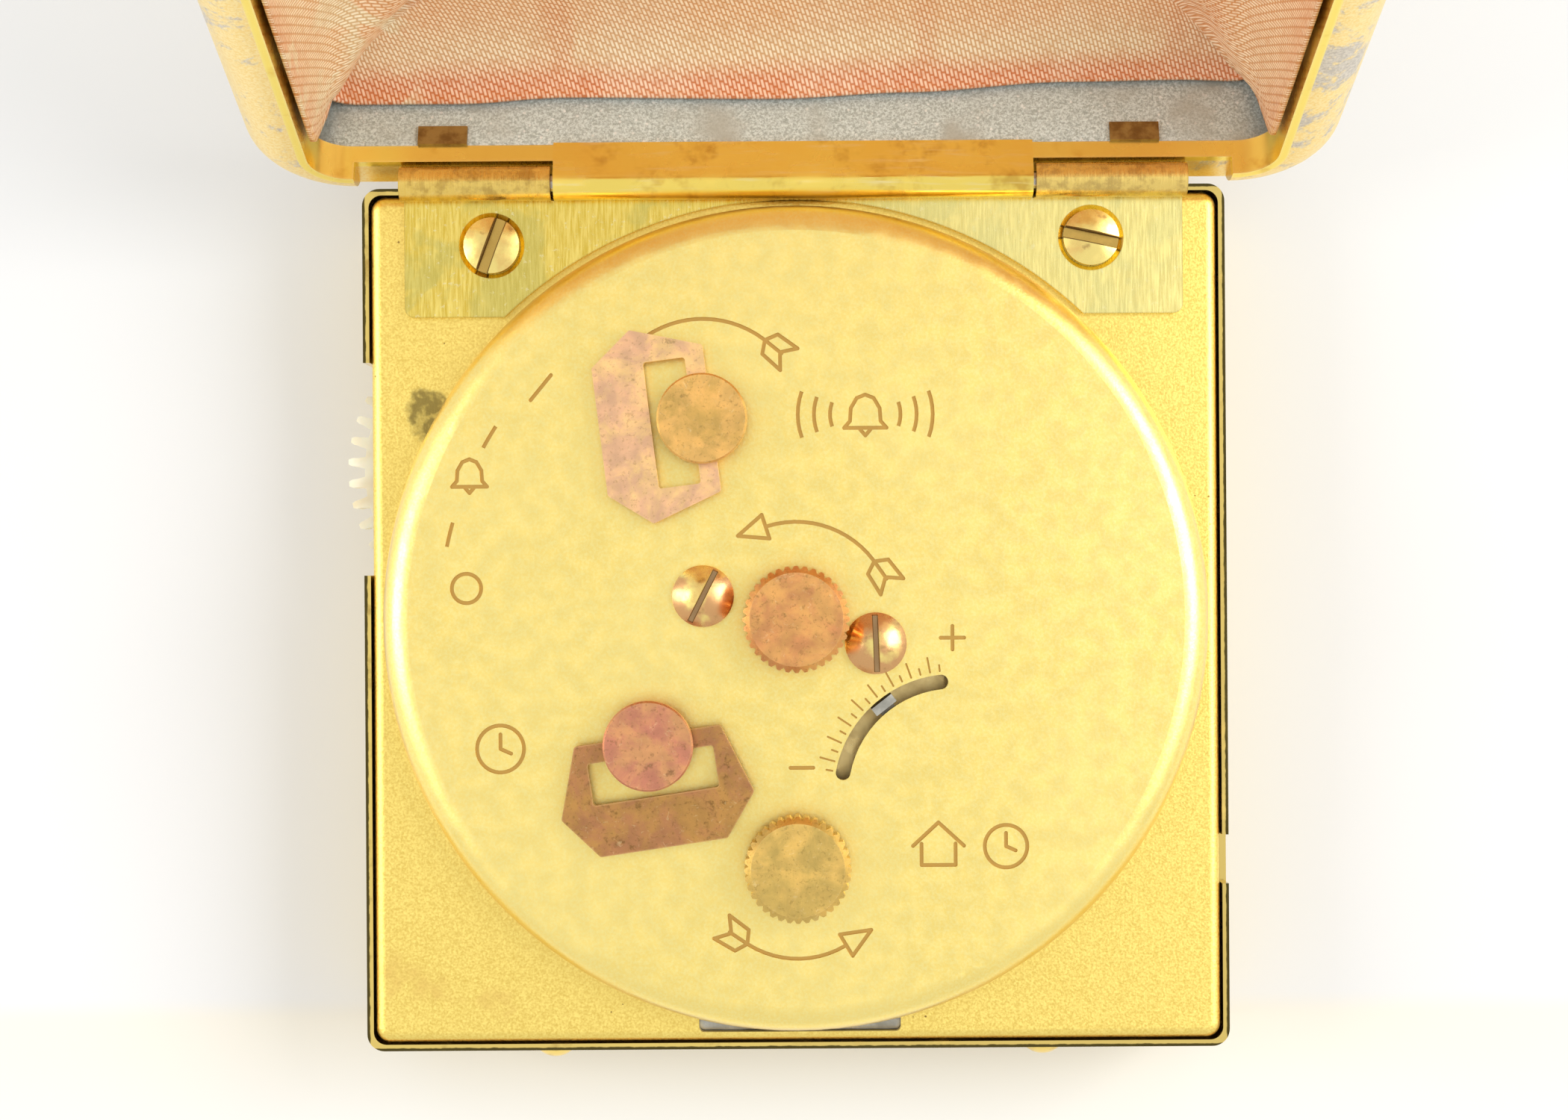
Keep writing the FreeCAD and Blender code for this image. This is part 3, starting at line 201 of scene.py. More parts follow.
def satin_cover():
    s = Shader("satin_cover", rough=0.36, metal=1.0)
    tone = s.ramp(s.noise(90, 3), 0.3, 0.7)
    base = s.mix(tone, (0.98, 0.76, 0.215), (1.0, 0.79, 0.245))
    grain = s.noise(5200, 2, 0.6)
    base = s.mix(s.ramp(grain, 0.30, 0.75), base, (1.0, 0.84, 0.31))
    height = s.axis("Z")
    radius = s.node("ShaderNodeVectorMath", operation="LENGTH")
    plane = s.node("ShaderNodeVectorMath", operation="MULTIPLY")
    s.put(plane.inputs[0], s.coords)
    plane.inputs[1].default_value = (1, 1, 0)
    s.put(radius.inputs[0], plane.outputs["Vector"])
    # Painted shade inside the engraved grooves on the cover's top: darker copper where the surface is sunk.
    within = s.ramp(radius.outputs["Value"], 26.0 * MM, 26.4 * MM, 1.0, 0.0)
    sunk = s.ramp(height, COVER_Z - 0.11 * MM, COVER_Z - 0.02 * MM, 1.0, 0.0)
    above = s.ramp(height, COVER_Z - 0.3 * MM, COVER_Z - 0.18 * MM)
    base = s.mix(s.both(sunk, above, within), base, (0.62, 0.36, 0.09))
    rim = s.ramp(radius.outputs["Value"], 27.9 * MM, 28.35 * MM)
    base = s.mix(s.math("MULTIPLY", rim, 0.45), base, (0.74, 0.56, 0.40))
    s.colour(base)
    s.rough(s.ramp(s.noise(700, 2), 0.3, 0.7, 0.32, 0.40))
    s.bump(grain, 0.00002, 0.35)
    s.bump(s.noise(260, 2), 0.00003, 0.2)
    return s.mat


def frosted_pan():
    s = Shader("frosted_pan", rough=0.42, metal=1.0)
    grain = s.noise(6400, 2, 0.65)
    base = s.mix(s.ramp(grain, 0.25, 0.75), (0.86, 0.61, 0.13), (1.0, 0.80, 0.23))
    base = s.mix(s.ramp(s.noise(130, 4, 0.6), 0.62, 0.75), base, (0.84, 0.58, 0.15))
    specks = s.both(s.ramp(s.cells(900), 0.05, 0.09, 1.0, 0.0), s.ramp(s.noise(300), 0.58, 0.62))
    base = s.mix(specks, base, (0.30, 0.18, 0.05))
    spread = s.node("ShaderNodeVectorMath", operation="MULTIPLY")
    s.put(spread.inputs[0], s.local(location=(25.5 * MM, -14.4 * MM, 0)))
    spread.inputs[1].default_value = (1.0, 0.8, 0.0)
    reach = s.node("ShaderNodeVectorMath", operation="LENGTH")
    s.put(reach.inputs[0], spread.outputs["Vector"])
    ragged = s.math("ADD", reach.outputs["Value"], s.math("MULTIPLY", s.noise(700, 3), 0.0014))
    outline = s.ramp(ragged, 1.9 * MM, 2.3 * MM, 1.0, 0.0)
    stain = s.both(outline, s.ramp(s.noise(1500, 2), 0.35, 0.6, 0.45, 0.95))
    base = s.mix(stain, base, (0.30, 0.22, 0.06))
    s.colour(base)
    s.rough(s.ramp(grain, 0.3, 0.7, 0.34, 0.48))
    s.bump(grain, 0.00004, 0.45)
    return s.mat


def polished_case():
    s = Shader("polished_case", rough=0.14, metal=1.0)
    dirt = s.ramp(s.noise(420, 4, 0.6), 0.52, 0.72)
    base = s.mix(dirt, (0.94, 0.70, 0.20), (0.46, 0.31, 0.08))
    base = s.mix(s.ramp(s.noise(40, 3), 0.4, 0.7), base, (0.84, 0.62, 0.18))
    # Painted dark reflection: a dark speckled line along the outer edge of the wall's top.
    width = s.math("MAXIMUM", *[s.math("ABSOLUTE", s.axis(letter)) for letter in "XY"])
    speckle = s.math("MULTIPLY", s.noise(1500, 3), 0.16 * MM)
    outer = s.ramp(s.math("ADD", width, speckle), 29.84 * MM, 29.92 * MM)
    rim = s.ramp(s.axis("Z"), 11.4 * MM, 11.8 * MM)
    s.colour(s.mix(s.both(outer, rim), base, (0.10, 0.075, 0.02)))
    s.rough(s.math("ADD", s.math("MULTIPLY", dirt, 0.3), 0.12))
    s.bump(s.noise(600, 3), 0.00003, 0.25)
    return s.mat


def brushed_leaf():
    s = Shader("brushed_leaf", rough=0.30, metal=1.0)
    lines = s.noise(7600, 3, 0.6, at=s.local(scale=(1, 0.07, 0.07)))
    base = s.mix(s.ramp(lines, 0.28, 0.72), (0.82, 0.58, 0.08), (1.0, 0.81, 0.22))
    green = s.ramp(s.noise(150, 4, 0.65, distortion=0.7), 0.47, 0.60)
    base = s.mix(s.math("MULTIPLY", green, 0.55), base, (0.60, 0.54, 0.15))
    brown = s.ramp(s.noise(110, 3, 0.6), 0.60, 0.66)
    base = s.mix(s.math("MULTIPLY", brown, 0.5), base, (0.66, 0.44, 0.09))
    specks = s.ramp(s.noise(2600, 3, 0.7), 0.60, 0.70)
    base = s.mix(s.math("MULTIPLY", specks, 0.5), base, (1.0, 0.92, 0.55))
    # Painted light: lighter gold towards the right, where the key lamp falls.
    base = s.mix(s.ramp(s.axis("X"), -5 * MM, 15 * MM, 0.0, 0.55), base, (1.0, 0.93, 0.42))
    barrel = s.ramp(s.axis("Z"), PAN_Z + 0.55 * MM, PAN_Z + 0.75 * MM)
    worn = s.mix(s.ramp(s.noise(900, 4, 0.7), 0.42, 0.62), (0.90, 0.62, 0.16), (0.58, 0.36, 0.09))
    base = s.mix(s.math("MULTIPLY", barrel, 0.8), base, worn)
    # Painted shade: darker brown along the leaf's sharp edges.
    base = s.mix(s.math("MULTIPLY", s.edges(0.00018), 0.7), base, (0.42, 0.25, 0.06))
    s.colour(base)
    s.rough(s.ramp(lines, 0.3, 0.7, 0.22, 0.36))
    s.bump(lines, 0.00002, 0.35)
    s.bump(s.noise(160, 2), 0.0001, 0.15)
    return s.mat


def hinge_brass():
    s = Shader("hinge_brass", rough=0.25, metal=1.0)
    scratches = s.noise(2600, 3, 0.6, at=s.local(scale=(0.1, 1, 1)))
    dirt = s.ramp(s.noise(240, 4, 0.7), 0.50, 0.70)
    base = s.mix(dirt, (1.0, 0.76, 0.16), (0.72, 0.46, 0.08))
    s.colour(s.mix(s.ramp(scratches, 0.5, 0.8), base, (1.0, 0.82, 0.34)))
    s.rough(s.ramp(s.noise(300, 3), 0.3, 0.7, 0.16, 0.36))
    s.bump(scratches, 0.00003, 0.35)
    s.bump(s.noise(170, 2), 0.00012, 0.3)
    return s.mat


def tarnished(name, tone, hue=(1, 1, 1), spots=0.60, rough=0.40):
    """Worn metal round one tone: patches of another hue, fine specks and lighter sharp edges."""
    s = Shader(name, rough=rough, metal=1.0)
    clean = tuple(min(1.0, 1.12 * c) for c in tone)
    dull = tuple(min(1.0, 0.92 * c * h) for c, h in zip(tone, hue))
    dark = tuple(0.45 * c for c in tone)
    patches = s.ramp(s.noise(330, 5, 0.68, distortion=0.5), 0.38, 0.62)
    base = s.mix(patches, clean, dull)
    base = s.mix(s.math("MULTIPLY", s.ramp(s.noise(760, 4, 0.7), spots, spots + 0.12), 0.7), base, dark)
    grit = s.ramp(s.noise(4200, 2, 0.7), 0.56, 0.70)
    base = s.mix(s.math("MULTIPLY", grit, 0.4), base, dark)
    light = s.ramp(s.noise(2300, 5, 0.7, distortion=1.2), 0.58, 0.72)
    base = s.mix(s.math("MULTIPLY", light, 0.3), base, (1.0, 0.82, 0.45))
    base = s.mix(s.math("MULTIPLY", s.edges(0.0002), 0.4), base, (1.0, 0.72, 0.30))
    s.colour(base)
    s.rough(s.ramp(s.noise(900, 3), 0.3, 0.7, rough - 0.1, rough + 0.12))
    s.bump(s.noise(2600, 3, 0.6), 0.00003, 0.45)
    return s.mat


# Screw slots: place in plan (mm), turn (degrees) and width (mm).
SLOTS = (
    (-20.9, 25.9, 69.3, 0.75), (20.6, 26.2, -12.0, 0.75),
    (-6.33, 1.58, 63.0, 0.34), (5.41, -1.7, 92.0, 0.34),
)


def screw_metal():
    s = Shader("screw_metal", rough=0.25, metal=1.0)
    patches = s.ramp(s.noise(420, 4, 0.6), 0.42, 0.62)
    base = s.mix(patches, (1.0, 0.80, 0.26), (0.90, 0.62, 0.20))
    copper = s.both(s.ramp(s.axis("Y"), 8 * MM, 10 * MM, 1.0, 0.0), s.ramp(s.noise(520, 4), 0.40, 0.56))
    base = s.mix(copper, base, (0.72, 0.40, 0.17))
    base = s.mix(s.math("MULTIPLY", s.ramp(s.noise(1400, 3), 0.6, 0.75), 0.6), base, (0.44, 0.26, 0.09))
    # Painted shade in each slot: a dark lip along its sides and a darker floor.
    for x, y, angle, width in SLOTS:
        along, across = s.local_axes(x, y, angle)
        near = s.ramp(along, 1.9 * MM, 2.0 * MM, 1.0, 0.0)
        floor = s.ramp(across, 0.40 * width * MM, 0.46 * width * MM, 1.0, 0.0)
        lip = s.ramp(across, 0.54 * width * MM, 0.62 * width * MM, 1.0, 0.0)
        base = s.mix(s.both(near, lip), base, (0.16, 0.08, 0.02))
        base = s.mix(s.both(near, floor), base, (0.62, 0.40, 0.10) if width > 0.5 else (0.40, 0.25, 0.12))
    s.colour(base)
    s.rough(s.ramp(s.noise(1100, 3), 0.3, 0.7, 0.2, 0.34))
    s.bump(s.noise(1900, 3), 0.00003, 0.35)
    return s.mat


def shell_metal():
    """Frosted gold that has worn through to grey in ragged patches."""
    s = Shader("shell_metal", rough=0.42, metal=1.0)
    grain = s.noise(5200, 2, 0.6)
    gold = s.mix(s.ramp(grain, 0.3, 0.7), (0.94, 0.70, 0.27), (1.0, 0.82, 0.42))
    grey = s.mix(s.ramp(grain, 0.3, 0.7), (0.56, 0.51, 0.44), (0.76, 0.70, 0.60))
    wide = s.noise(70, 6, 0.72, distortion=0.8)
    fine = s.noise(520, 4, 0.7)
    worn = s.math("ADD", s.math("MULTIPLY", wide, 0.72), s.math("MULTIPLY", fine, 0.28))
    mask = s.ramp(worn, 0.515, 0.575)
    s.colour(s.mix(mask, gold, grey))
    s.rough(s.ramp(mask, 0.0, 1.0, 0.38, 0.46))
    s.bump(grain, 0.00003, 0.4)
    s.bump(s.math("SUBTRACT", 1.0, mask), 0.00002, 0.5)
    return s.mat


def frame_gold():
    s = Shader("frame_gold", rough=0.24, metal=1.0)
    dirt = s.ramp(s.noise(300, 4, 0.6), 0.54, 0.72)
    base = s.mix(dirt, (1.0, 0.80, 0.19), (0.82, 0.54, 0.09))
    # Painted highlight: lighter gold along sharp edges.
    s.colour(s.mix(s.math("MULTIPLY", s.edges(0.0004), 0.5), base, (1.0, 0.90, 0.48)))
    s.rough(s.ramp(s.noise(240, 3), 0.3, 0.7, 0.20, 0.34))
    s.bump(s.noise(150, 3), 0.00015, 0.35)
    return s.mat


def brown_tab():
    s = Shader("brown_tab", rough=0.45, metal=0.7)
    s.colour(s.mix(s.ramp(s.noise(900, 4, 0.6), 0.35, 0.65), (0.20, 0.10, 0.02), (0.36, 0.22, 0.06)))
    s.bump(s.noise(1500, 3), 0.00004, 0.4)
    return s.mat


def grey_liner():
    s = Shader("grey_liner", rough=0.45, metal=0.3)
    sparkle = s.noise(5200, 2, 0.8)
    base = s.mix(s.ramp(sparkle, 0.32, 0.68), (0.38, 0.43, 0.39), (0.74, 0.82, 0.78))
    spots = s.ramp(s.cells(1500), 0.10, 0.20, 1.0, 0.0)
    base = s.mix(s.math("MULTIPLY", spots, 0.5), base, (1.0, 1.0, 0.95))
    s.colour(s.mix(s.ramp(s.noise(160, 3), 0.50, 0.75), base, (0.46, 0.47, 0.40)))
    s.bump(sparkle, 0.00005, 0.6)
    return s.mat


def weave_dashes(s, across, down, pitch=0.28, length=0.82):
    """Staggered slanted dashes of a satin weave: 1 on a thread and 0 between threads."""
    column = s.math("DIVIDE", s.math("ADD", across, s.math("MULTIPLY", down, 0.22)), pitch * MM)
    number = s.math("FLOOR", column)
    row = s.math("ADD", s.math("DIVIDE", down, length * MM), s.math("MULTIPLY", number, 0.27))
    off_column = s.math("ABSOLUTE", s.math("SUBTRACT", s.math("FRACT", column), 0.5))
    off_row = s.math("ABSOLUTE", s.math("SUBTRACT", s.math("FRACT", row), 0.5))
    thread = s.both(s.ramp(off_column, 0.16, 0.46, 1.0, 0.0), s.ramp(off_row, 0.30, 0.50, 1.0, 0.0))
    return s.both(thread, s.ramp(s.noise(1700, 2), 0.25, 0.6, 0.55, 1.0))


def satin():
    """Salmon satin with painted shade and sheen: deep where it turns to the hinge, pale on the bend, with the
    dashes of its weave.
    """
    s = Shader("satin", rough=0.40, Sheen_Weight=0.10, Sheen_Roughness=0.4, Specular_IOR_Level=0.5)
    s.bsdf.inputs["Sheen Tint"].default_value = (1.0, 0.72, 0.42, 1)
    uv = s.node("ShaderNodeUVMap", uv_map="weave").outputs["UV"]
    band = s.axis("X", s.node("ShaderNodeUVMap", uv_map="band").outputs["UV"])
    dashes = weave_dashes(s, s.axis("X", uv), s.axis("Y", uv))
    drift = s.math("MULTIPLY", s.math("SUBTRACT", s.noise(60, 2), 0.5), 0.25)
    band = s.math("ADD", band, drift)
    # Painted shade and sheen by the band: deep salmon where the satin turns to the hinge, pale on the bend, peach
    # towards the floor.
    tone = s.mix(s.ramp(band, 0.22, 0.52), (0.86, 0.29, 0.06), (1.0, 0.74, 0.42))
    tone = s.mix(s.ramp(band, 0.50, 0.90), tone, (1.0, 0.60, 0.29))
    # Painted sheen: pale streaks along the satin, with deeper painted shade streaks between them.
    painted_sheen_streaks = s.noise(170, 3, 0.55, at=s.local(scale=(1, 0.12, 0.12)), distortion=0.6)
    tone = s.mix(s.ramp(painted_sheen_streaks, 0.52, 0.70, 0.0, 0.28), tone, (1.0, 0.84, 0.58))
    tone = s.mix(s.ramp(painted_sheen_streaks, 0.34, 0.48, 0.55, 0.0), tone, (0.90, 0.38, 0.12))
    # Painted highlight: pale gold shine on the folds in the left corner.
    shine = s.ramp(s.noise(150, 2, 0.5, distortion=1.6), 0.50, 0.60)
    left = s.ramp(s.axis("X"), -27.5 * MM, -25.0 * MM, 1.0, 0.0)
    tone = s.mix(s.both(shine, left), tone, (1.0, 0.86, 0.55))
    # Painted shade: deeper salmon towards the right side.
    right = s.ramp(s.axis("X"), 25.0 * MM, 27.5 * MM)
    tone = s.mix(s.math("MULTIPLY", right, 0.35), tone, (0.80, 0.34, 0.14))
    dark = s.mix(1.0, tone, (0.66, 0.50, 0.38), "MULTIPLY")
    light = s.mix(0.50, tone, (1.0, 0.92, 0.74))
    s.colour(s.mix(dashes, dark, light))
    s.bump(dashes, 0.00006, 0.5)
    s.bump(s.noise(260, 3), 0.0003, 0.10)
    return s.mat


def plastic():
    s = Shader("ivory_plastic", rough=0.38, Subsurface_Weight=0.15, Subsurface_Scale=0.001)
    s.bsdf.inputs["Subsurface Radius"].default_value = (1.0, 0.7, 0.4)
    s.colour(s.mix(s.ramp(s.noise(400, 3), 0.4, 0.7), (0.95, 0.90, 0.70), (0.86, 0.76, 0.52)))
    s.bump(s.noise(900, 3), 0.00003, 0.3)
    return s.mat


def plain_metal(name, light, dark, rough):
    s = Shader(name, rough=rough, metal=1.0)
    s.colour(s.mix(s.ramp(s.noise(500, 4, 0.6), 0.35, 0.7), light, dark))
    s.rough(s.ramp(s.noise(900, 3), 0.3, 0.7, rough * 0.8, rough * 1.3))
    s.bump(s.noise(2200, 2, at=s.local(scale=(1, 0.1, 1))), 0.00003, 0.3)
    return s.mat


def painted(name, light, dark, rough):
    s = Shader(name, rough=rough)
    s.colour(s.mix(s.ramp(s.noise(260, 4), 0.35, 0.7), light, dark))
    s.bump(s.noise(1500, 3), 0.00002, 0.3)
    return s.mat


def clear():
    s = Shader("crystal_clear", rough=0.03, Transmission_Weight=1.0, IOR=1.49)
    s.colour(s.mix(s.noise(80, 2), (0.97, 0.98, 0.97), (0.93, 0.95, 0.94)))
    s.rough(s.ramp(s.noise(700, 3), 0.5, 0.75, 0.02, 0.08))
    return s.mat


LOOKS = {
    "polished_case": polished_case(),
    "frosted_pan": frosted_pan(),
    "satin_cover": satin_cover(),
    "copper_screw": screw_metal(),
    "brushed_leaf": brushed_leaf(),
    "shell_metal": shell_metal(),
    "shell_frame": frame_gold(),
    "grey_liner": grey_liner(),
    "satin_lining": satin(),
    "hinge_brass": hinge_brass(),
    "key_copper": tarnished("key_copper", (0.93, 0.58, 0.25), hue=(0.96, 0.92, 1.25), rough=0.38),
    "key_bronze": tarnished("key_bronze", (0.47, 0.25, 0.075), hue=(1.1, 0.95, 1.4), spots=0.56),
    "knob_bronze": tarnished("knob_bronze", (0.70, 0.37, 0.12), hue=(1.05, 0.9, 1.1)),
    "knob_brass": tarnished("knob_brass", (0.72, 0.47, 0.13), hue=(0.92, 0.98, 1.0), spots=0.64),
    "ivory_plastic": plastic(),
    "movement_brass": plain_metal("movement_brass", (0.88, 0.68, 0.30), (0.66, 0.46, 0.18), 0.28),
    "movement_steel": plain_metal("movement_steel", (0.62, 0.62, 0.62), (0.38, 0.36, 0.34), 0.26),
    "nickel_strip": plain_metal("nickel_strip", (0.62, 0.60, 0.52), (0.34, 0.33, 0.28), 0.32),
    "crystal_clear": clear(),
    "dial_enamel": painted("dial_enamel", (0.90, 0.89, 0.85), (0.82, 0.80, 0.74), 0.5),
    "hand_dark": painted("hand_dark", (0.03, 0.03, 0.03), (0.06, 0.055, 0.05), 0.35),
}
OWN_LOOKS = {
    "alarm_key_post": tarnished("alarm_post", (0.76, 0.45, 0.14), hue=(0.92, 0.98, 0.9), rough=0.42),
    "time_key_post": tarnished("time_post", (0.64, 0.32, 0.14), hue=(1.05, 0.85, 1.2), rough=0.42),
    "frame_tabs": brown_tab(),
}
SLOT_OF = {part["node"]: part["material_slot"] for part in frame["record"]["subparts"]}
for node, thing in NODES.items():
    for mat_slot in thing.material_slots:
        mat_slot.material = OWN_LOOKS.get(node, LOOKS[SLOT_OF[node]])


# Satin lining ------------------------------------------------------------------------------------

# Places along the hinge (mm), each with the depth there of the satin's edge (mm).
HINGE_EDGE = ((-32.7, 5.65), (-23, 5.65), (-16, 6.1), (-1, 5.9), (8, 6.35), (19, 7.1), (27, 7.2), (32.7, 7.0))
HALF = 32.65                # half the width of the shell's mouth
SLOPE = 8.0                 # width of the sloping border of the lining


def hinge_edge(x):
    """Depth of the satin's edge along the hinge side (mm)."""
    for (x0, d0), (x1, d1) in zip(HINGE_EDGE, HINGE_EDGE[1:]):
        if x <= x1:
            k = max(0.0, (x - x0) / (x1 - x0))
            return d0 + (d1 - d0) * k * k * (3 - 2 * k)
    return HINGE_EDGE[-1][1]


def edge_depth(side, x, from_hinge, uneven):
    """Depth at which the satin starts: low along the hinge side, just under the rim elsewhere."""
    if side == 0:
        return hinge_edge(x) if uneven else 0.9
    corner = hinge_edge(x) - 0.9 if uneven else 0.0
    return 0.9 + corner * math.exp(-((from_hinge / 1.6) ** 2))


def rounded_in(x, y, near, far, r=2.3):
    """Keeps a point inside the rounded outline of the mouth."""
    cx = math.copysign(HALF - r, x)
    cy = near + r if y < (near + far) / 2 else far - r
    if abs(x) > abs(cx) and (y < cy) == (y < (near + far) / 2):
        away = Vector((x - cx, y - cy))
        if away.length > r:
            away *= r / away.length
        return cx + away.x, cy + away.y
    return x, y


def fold(x, from_hinge, level, seed):
    """Height of the creases that run out of the two corners on the hinge side."""
    gap = HALF - abs(x)
    reach = math.hypot(gap, from_hinge)
    turn = math.atan2(from_hinge, gap + 1e-6)
    if turn < math.pi / 4:
        return 0.0
    strength = (0.55 if x < 0 else 0.30) * math.exp(-((reach - 8) / 9) ** 2) * math.sin(level * math.pi / 2)
    return strength * math.sin(13 * turn + 2.2 * noise.noise(Vector((x * 0.2, from_hinge * 0.2, seed))))


def satin_tray(name, near, far, deep, body, node, seed, uneven):
    """Thin padded satin over a card tray: four sloping borders, mitred at the corners, and a soft floor."""
    mesh = bmesh.new()
    weave = mesh.loops.layers.uv.new("weave")
    bands = mesh.loops.layers.uv.new("band")
    middle = (near + far) / 2
    hinge_at = near if uneven else far
    levels, cuts = 16, 60
    fractions = [0.7 * k / cuts + 0.3 * (0.5 - 0.5 * math.cos(math.pi * k / cuts)) for k in range(cuts)]
    rings = []
    for level in range(levels + 1):
        a = level / levels * math.pi / 2
        u = SLOPE * (1 - math.cos(a))
        corners = [(-HALF + u, near + u), (HALF - u, near + u), (HALF - u, far - u), (-HALF + u, far - u)]
        ring = []
        for side in range(4):
            (xa, ya), (xb, yb) = corners[side], corners[(side + 1) % 4]
            for f in fractions:
                x, y = xa + (xb - xa) * f, ya + (yb - ya) * f
                x, y = rounded_in(x, y, near, far)
                from_hinge = abs(y - hinge_at)
                top = edge_depth(side, x, from_hinge, uneven)
                puff = 0.45 * noise.noise(Vector((x * 0.06, y * 0.06, seed))) * math.sin(a)
                rise = puff + fold(x, from_hinge, level / levels, seed)
                z = -(top + (deep - top) * math.sin(a)) + rise
                ring.append(mesh.verts.new((x, y, z)))
        rings.append(ring)
    count = len(rings[0])
    down = [[0.0] * count]
    for above, below in zip(rings, rings[1:]):
        down.append([d + (p.co - q.co).length for d, p, q in zip(down[-1], above, below)])

    def along(side, v):
        return v.co.x if side % 2 == 0 else v.co.y

    for level in range(levels):
        for n in range(count):
            m = (n + 1) % count
            side = n // cuts
            spots = ((level, n), (level + 1, n), (level + 1, m), (level, m))
            face = mesh.faces.new([rings[i][j] for i, j in spots])
            for loop, (i, j) in zip(face.loops, spots):
                loop[weave].uv = (along(side, loop.vert) * MM, down[i][j] * MM)
                # The band map grows towards 1 at the floor (from 0 at the edge on the hinge and far sides, from
                # 0.35 on the others); the satin shader paints shade and sheen from it.
                steep = i / levels if side % 2 == 0 else 0.35 + 0.65 * i / levels
                loop[bands].uv = (steep, side)
    last = rings[-1]
    steps = 9
    for step in range(1, steps + 1):
        k = step / (steps + 1)
        ring = []
        for v in rings[-1]:
            x, y = v.co.x * (1 - k), (v.co.y - middle) * (1 - k)
            crown = 0.7 * math.sin(math.pi * min(1, 0.9 * k))
            lift = crown + 0.4 * noise.noise(Vector((x * 0.07, y * 0.07, seed + 7)))
            ring.append(mesh.verts.new((x, y + middle, (v.co.z + deep) * (1 - k) - deep + 0.7 * lift)))
        for n in range(count):
            m = (n + 1) % count
            mesh.faces.new((last[n], ring[n], ring[m], last[m]))
        last = ring
    tip = mesh.verts.new((0, middle, -deep + 0.4))
    for n in range(count):
        mesh.faces.new((last[n], tip, last[(n + 1) % count]))
    for face in mesh.faces[levels * count:]:
        for loop in face.loops:
            loop[weave].uv = (loop.vert.co.x * MM, loop.vert.co.y * MM)
            loop[bands].uv = (1.0, 4)
    for v in mesh.verts:
        v.co = HINGE + (ACROSS * v.co.x + ALONG * v.co.y + OUT * v.co.z) * MM
    bmesh.ops.recalc_face_normals(mesh, faces=mesh.faces)
    data = bpy.data.meshes.new(name)
    mesh.to_mesh(data)
    mesh.free()
    for polygon in data.polygons:
        polygon.use_smooth = True
    cloth = bpy.data.objects.new(name, data)
    bpy.context.scene.collection.objects.link(cloth)
    data.materials.append(LOOKS["satin_lining"])
    thick = cloth.modifiers.new("thickness", "SOLIDIFY")
    thick.thickness = 0.0003
    thick.offset = -1
    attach(cloth, body)
    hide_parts(node)
    return cloth


# Dial marks --------------------------------------------------------------------------------------

INK = 0.06 * MM             # thickness of the printed marks
INK_OUT = 0.02 * MM         # how far their middle stands in front of the dial


def finish_marks(name, parts):
    """Joins bmesh parts into one piece of ink on the clock."""
    mesh = bpy.data.meshes.new(name)
    parts.to_mesh(mesh)
    parts.free()
    piece = bpy.data.objects.new(name, mesh)
    bpy.context.scene.collection.objects.link(piece)
    mesh.materials.append(LOOKS["hand_dark"])
    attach(piece, "clock")
    return piece


def ticks(name, centre, face, count, outer, length, heavy):
    """Bars round a centre; every fifth one is longer and wider."""
    parts = bmesh.new()
    for number in range(count):
        strong = number % heavy == 0
        turn = Matrix.Rotation(2 * math.pi * number / count, 4, "Z")
        long = length * (1.5 if strong else 1.0)
        wide = length * (0.3 if strong else 0.12)
        size = Matrix.Diagonal((wide, long, INK, 1))
        shift = Matrix.Translation((0, outer - long / 2, 0))
        place = Matrix.Translation((centre[0], centre[1], face - INK_OUT))
        bmesh.ops.create_cube(parts, size=1.0, matrix=place @ turn @ shift @ size)
    return finish_marks(name, parts)


def numerals(face, radius, height):
    """1 to 12 clockwise as seen from the front, with 12 towards the hinge."""
    parts = bmesh.new()
    for number in range(1, 13):
        words = bpy.data.curves.new("numeral", "FONT")
        words.body = str(number)
        words.size = height
        words.extrude = INK / 2
        words.align_x = "CENTER"
        words.align_y = "CENTER"
        holder = bpy.data.objects.new("numeral", words)
        bpy.context.scene.collection.objects.link(holder)
        bpy.context.view_layer.update()
        mesh = bpy.data.meshes.new_from_object(holder)
        angle = 2 * math.pi * number / 12
        spot = Vector((-math.sin(angle) * radius, math.cos(angle) * radius, face - INK_OUT))
        mesh.transform(Matrix.Translation(spot) @ Matrix.Rotation(math.pi, 4, "Y"))
        parts.from_mesh(mesh)
        bpy.data.objects.remove(holder)
        bpy.data.curves.remove(words)
        bpy.data.meshes.remove(mesh)
    bmesh.ops.remove_doubles(parts, verts=parts.verts, dist=1e-6)
    return finish_marks("dial_numerals", parts)


DIAL_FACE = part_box("dial")[0][2]
DIAL_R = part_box("dial")[1][0]
ticks("dial_minutes", (0, 0), DIAL_FACE, 60, DIAL_R - 1.6 * MM, 1.2 * MM, 5)
numerals(DIAL_FACE, DIAL_R - 5.8 * MM, 4.2 * MM)

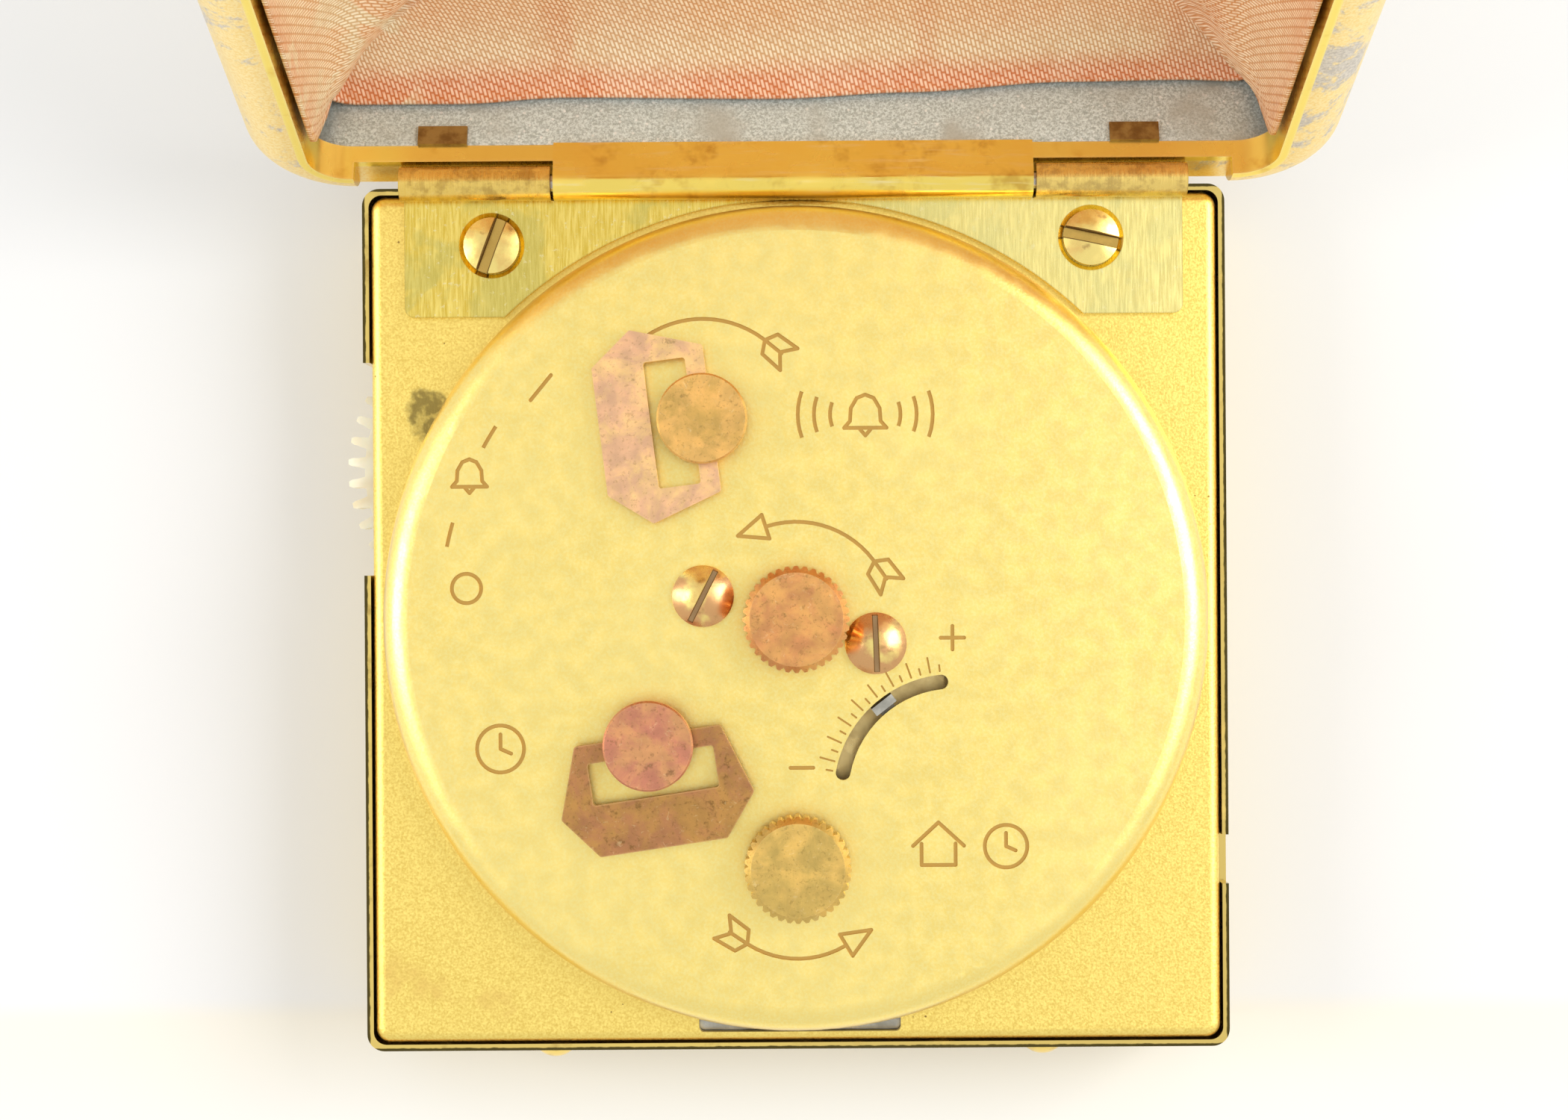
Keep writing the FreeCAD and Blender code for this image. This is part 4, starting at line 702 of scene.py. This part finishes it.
SPAN = (FAR_HINGE - HINGE).length / MM              # between the two hinge axes
MOUTH_END = 63.15                                   # far end of the back shell's mouth from its hinge
satin_tray("back_satin", 1.05, MOUTH_END, 9.3, "back_shell", "back_shell_lining", 1.0, True)
satin_tray("front_satin", 2 * SPAN - MOUTH_END, 2 * SPAN + 1.7, 15.4,
           "front_shell", "front_shell_lining", 5.0, False)


# Stage, light and camera -------------------------------------------------------------------------

def stage():
    bpy.ops.mesh.primitive_plane_add(size=3.0, location=(0, 0, -0.0002))
    floor = bpy.context.object
    floor.name = "floor"
    s = Shader("floor", rough=0.9)
    # Painted warm glow of light reflected onto the floor along the clock's lower edge (y from -44 to -28 mm).
    near = s.both(s.ramp(s.axis("Y"), -44 * MM, -30 * MM), s.ramp(s.axis("Y"), -30 * MM, -28 * MM, 1.0, 0.0))
    plain = s.mix(s.noise(30, 2), (0.74, 0.74, 0.735), (0.76, 0.76, 0.755))
    s.colour(s.mix(s.math("MULTIPLY", near, 0.7), plain, (0.80, 0.755, 0.64)))
    floor.data.materials.append(s.mat)


def area(name, place, target, size, power, colour=(1, 1, 1)):
    lamp = bpy.data.lights.new(name, "AREA")
    lamp.shape = "RECTANGLE"
    lamp.size, lamp.size_y = size
    lamp.energy = power
    lamp.color = colour
    holder = bpy.data.objects.new(name, lamp)
    bpy.context.scene.collection.objects.link(holder)
    holder.location = place
    holder.rotation_mode = "QUATERNION"
    holder.rotation_quaternion = (Vector(target) - Vector(place)).to_track_quat("-Z", "Y")


def lights():
    world = bpy.data.worlds.new("studio")
    bpy.context.scene.world = world
    world.use_nodes = True
    world.node_tree.nodes["Background"].inputs["Color"].default_value = (1, 1, 1, 1)
    world.node_tree.nodes["Background"].inputs["Strength"].default_value = 0.84
    area("key", (0.42, 0.10, 0.42), (0, 0, 0.01), (0.35, 0.35), 2.2)
    area("fill", (-0.46, 0.02, 0.32), (0, 0, 0.01), (0.20, 0.40), 1.2)


def camera():
    lens = bpy.data.cameras.new("camera")
    lens.lens = 60
    lens.sensor_width = 36
    lens.clip_start = 0.001
    holder = bpy.data.objects.new("camera", lens)
    bpy.context.scene.collection.objects.link(holder)
    holder.location = (-0.8 * MM, 4.0 * MM, PAN_Z + 181.5 * MM)
    holder.rotation_euler = (0, 0, math.radians(-0.38))
    bpy.context.scene.camera = holder


stage()
lights()
camera()
bpy.context.scene.view_settings.view_transform = "Standard"
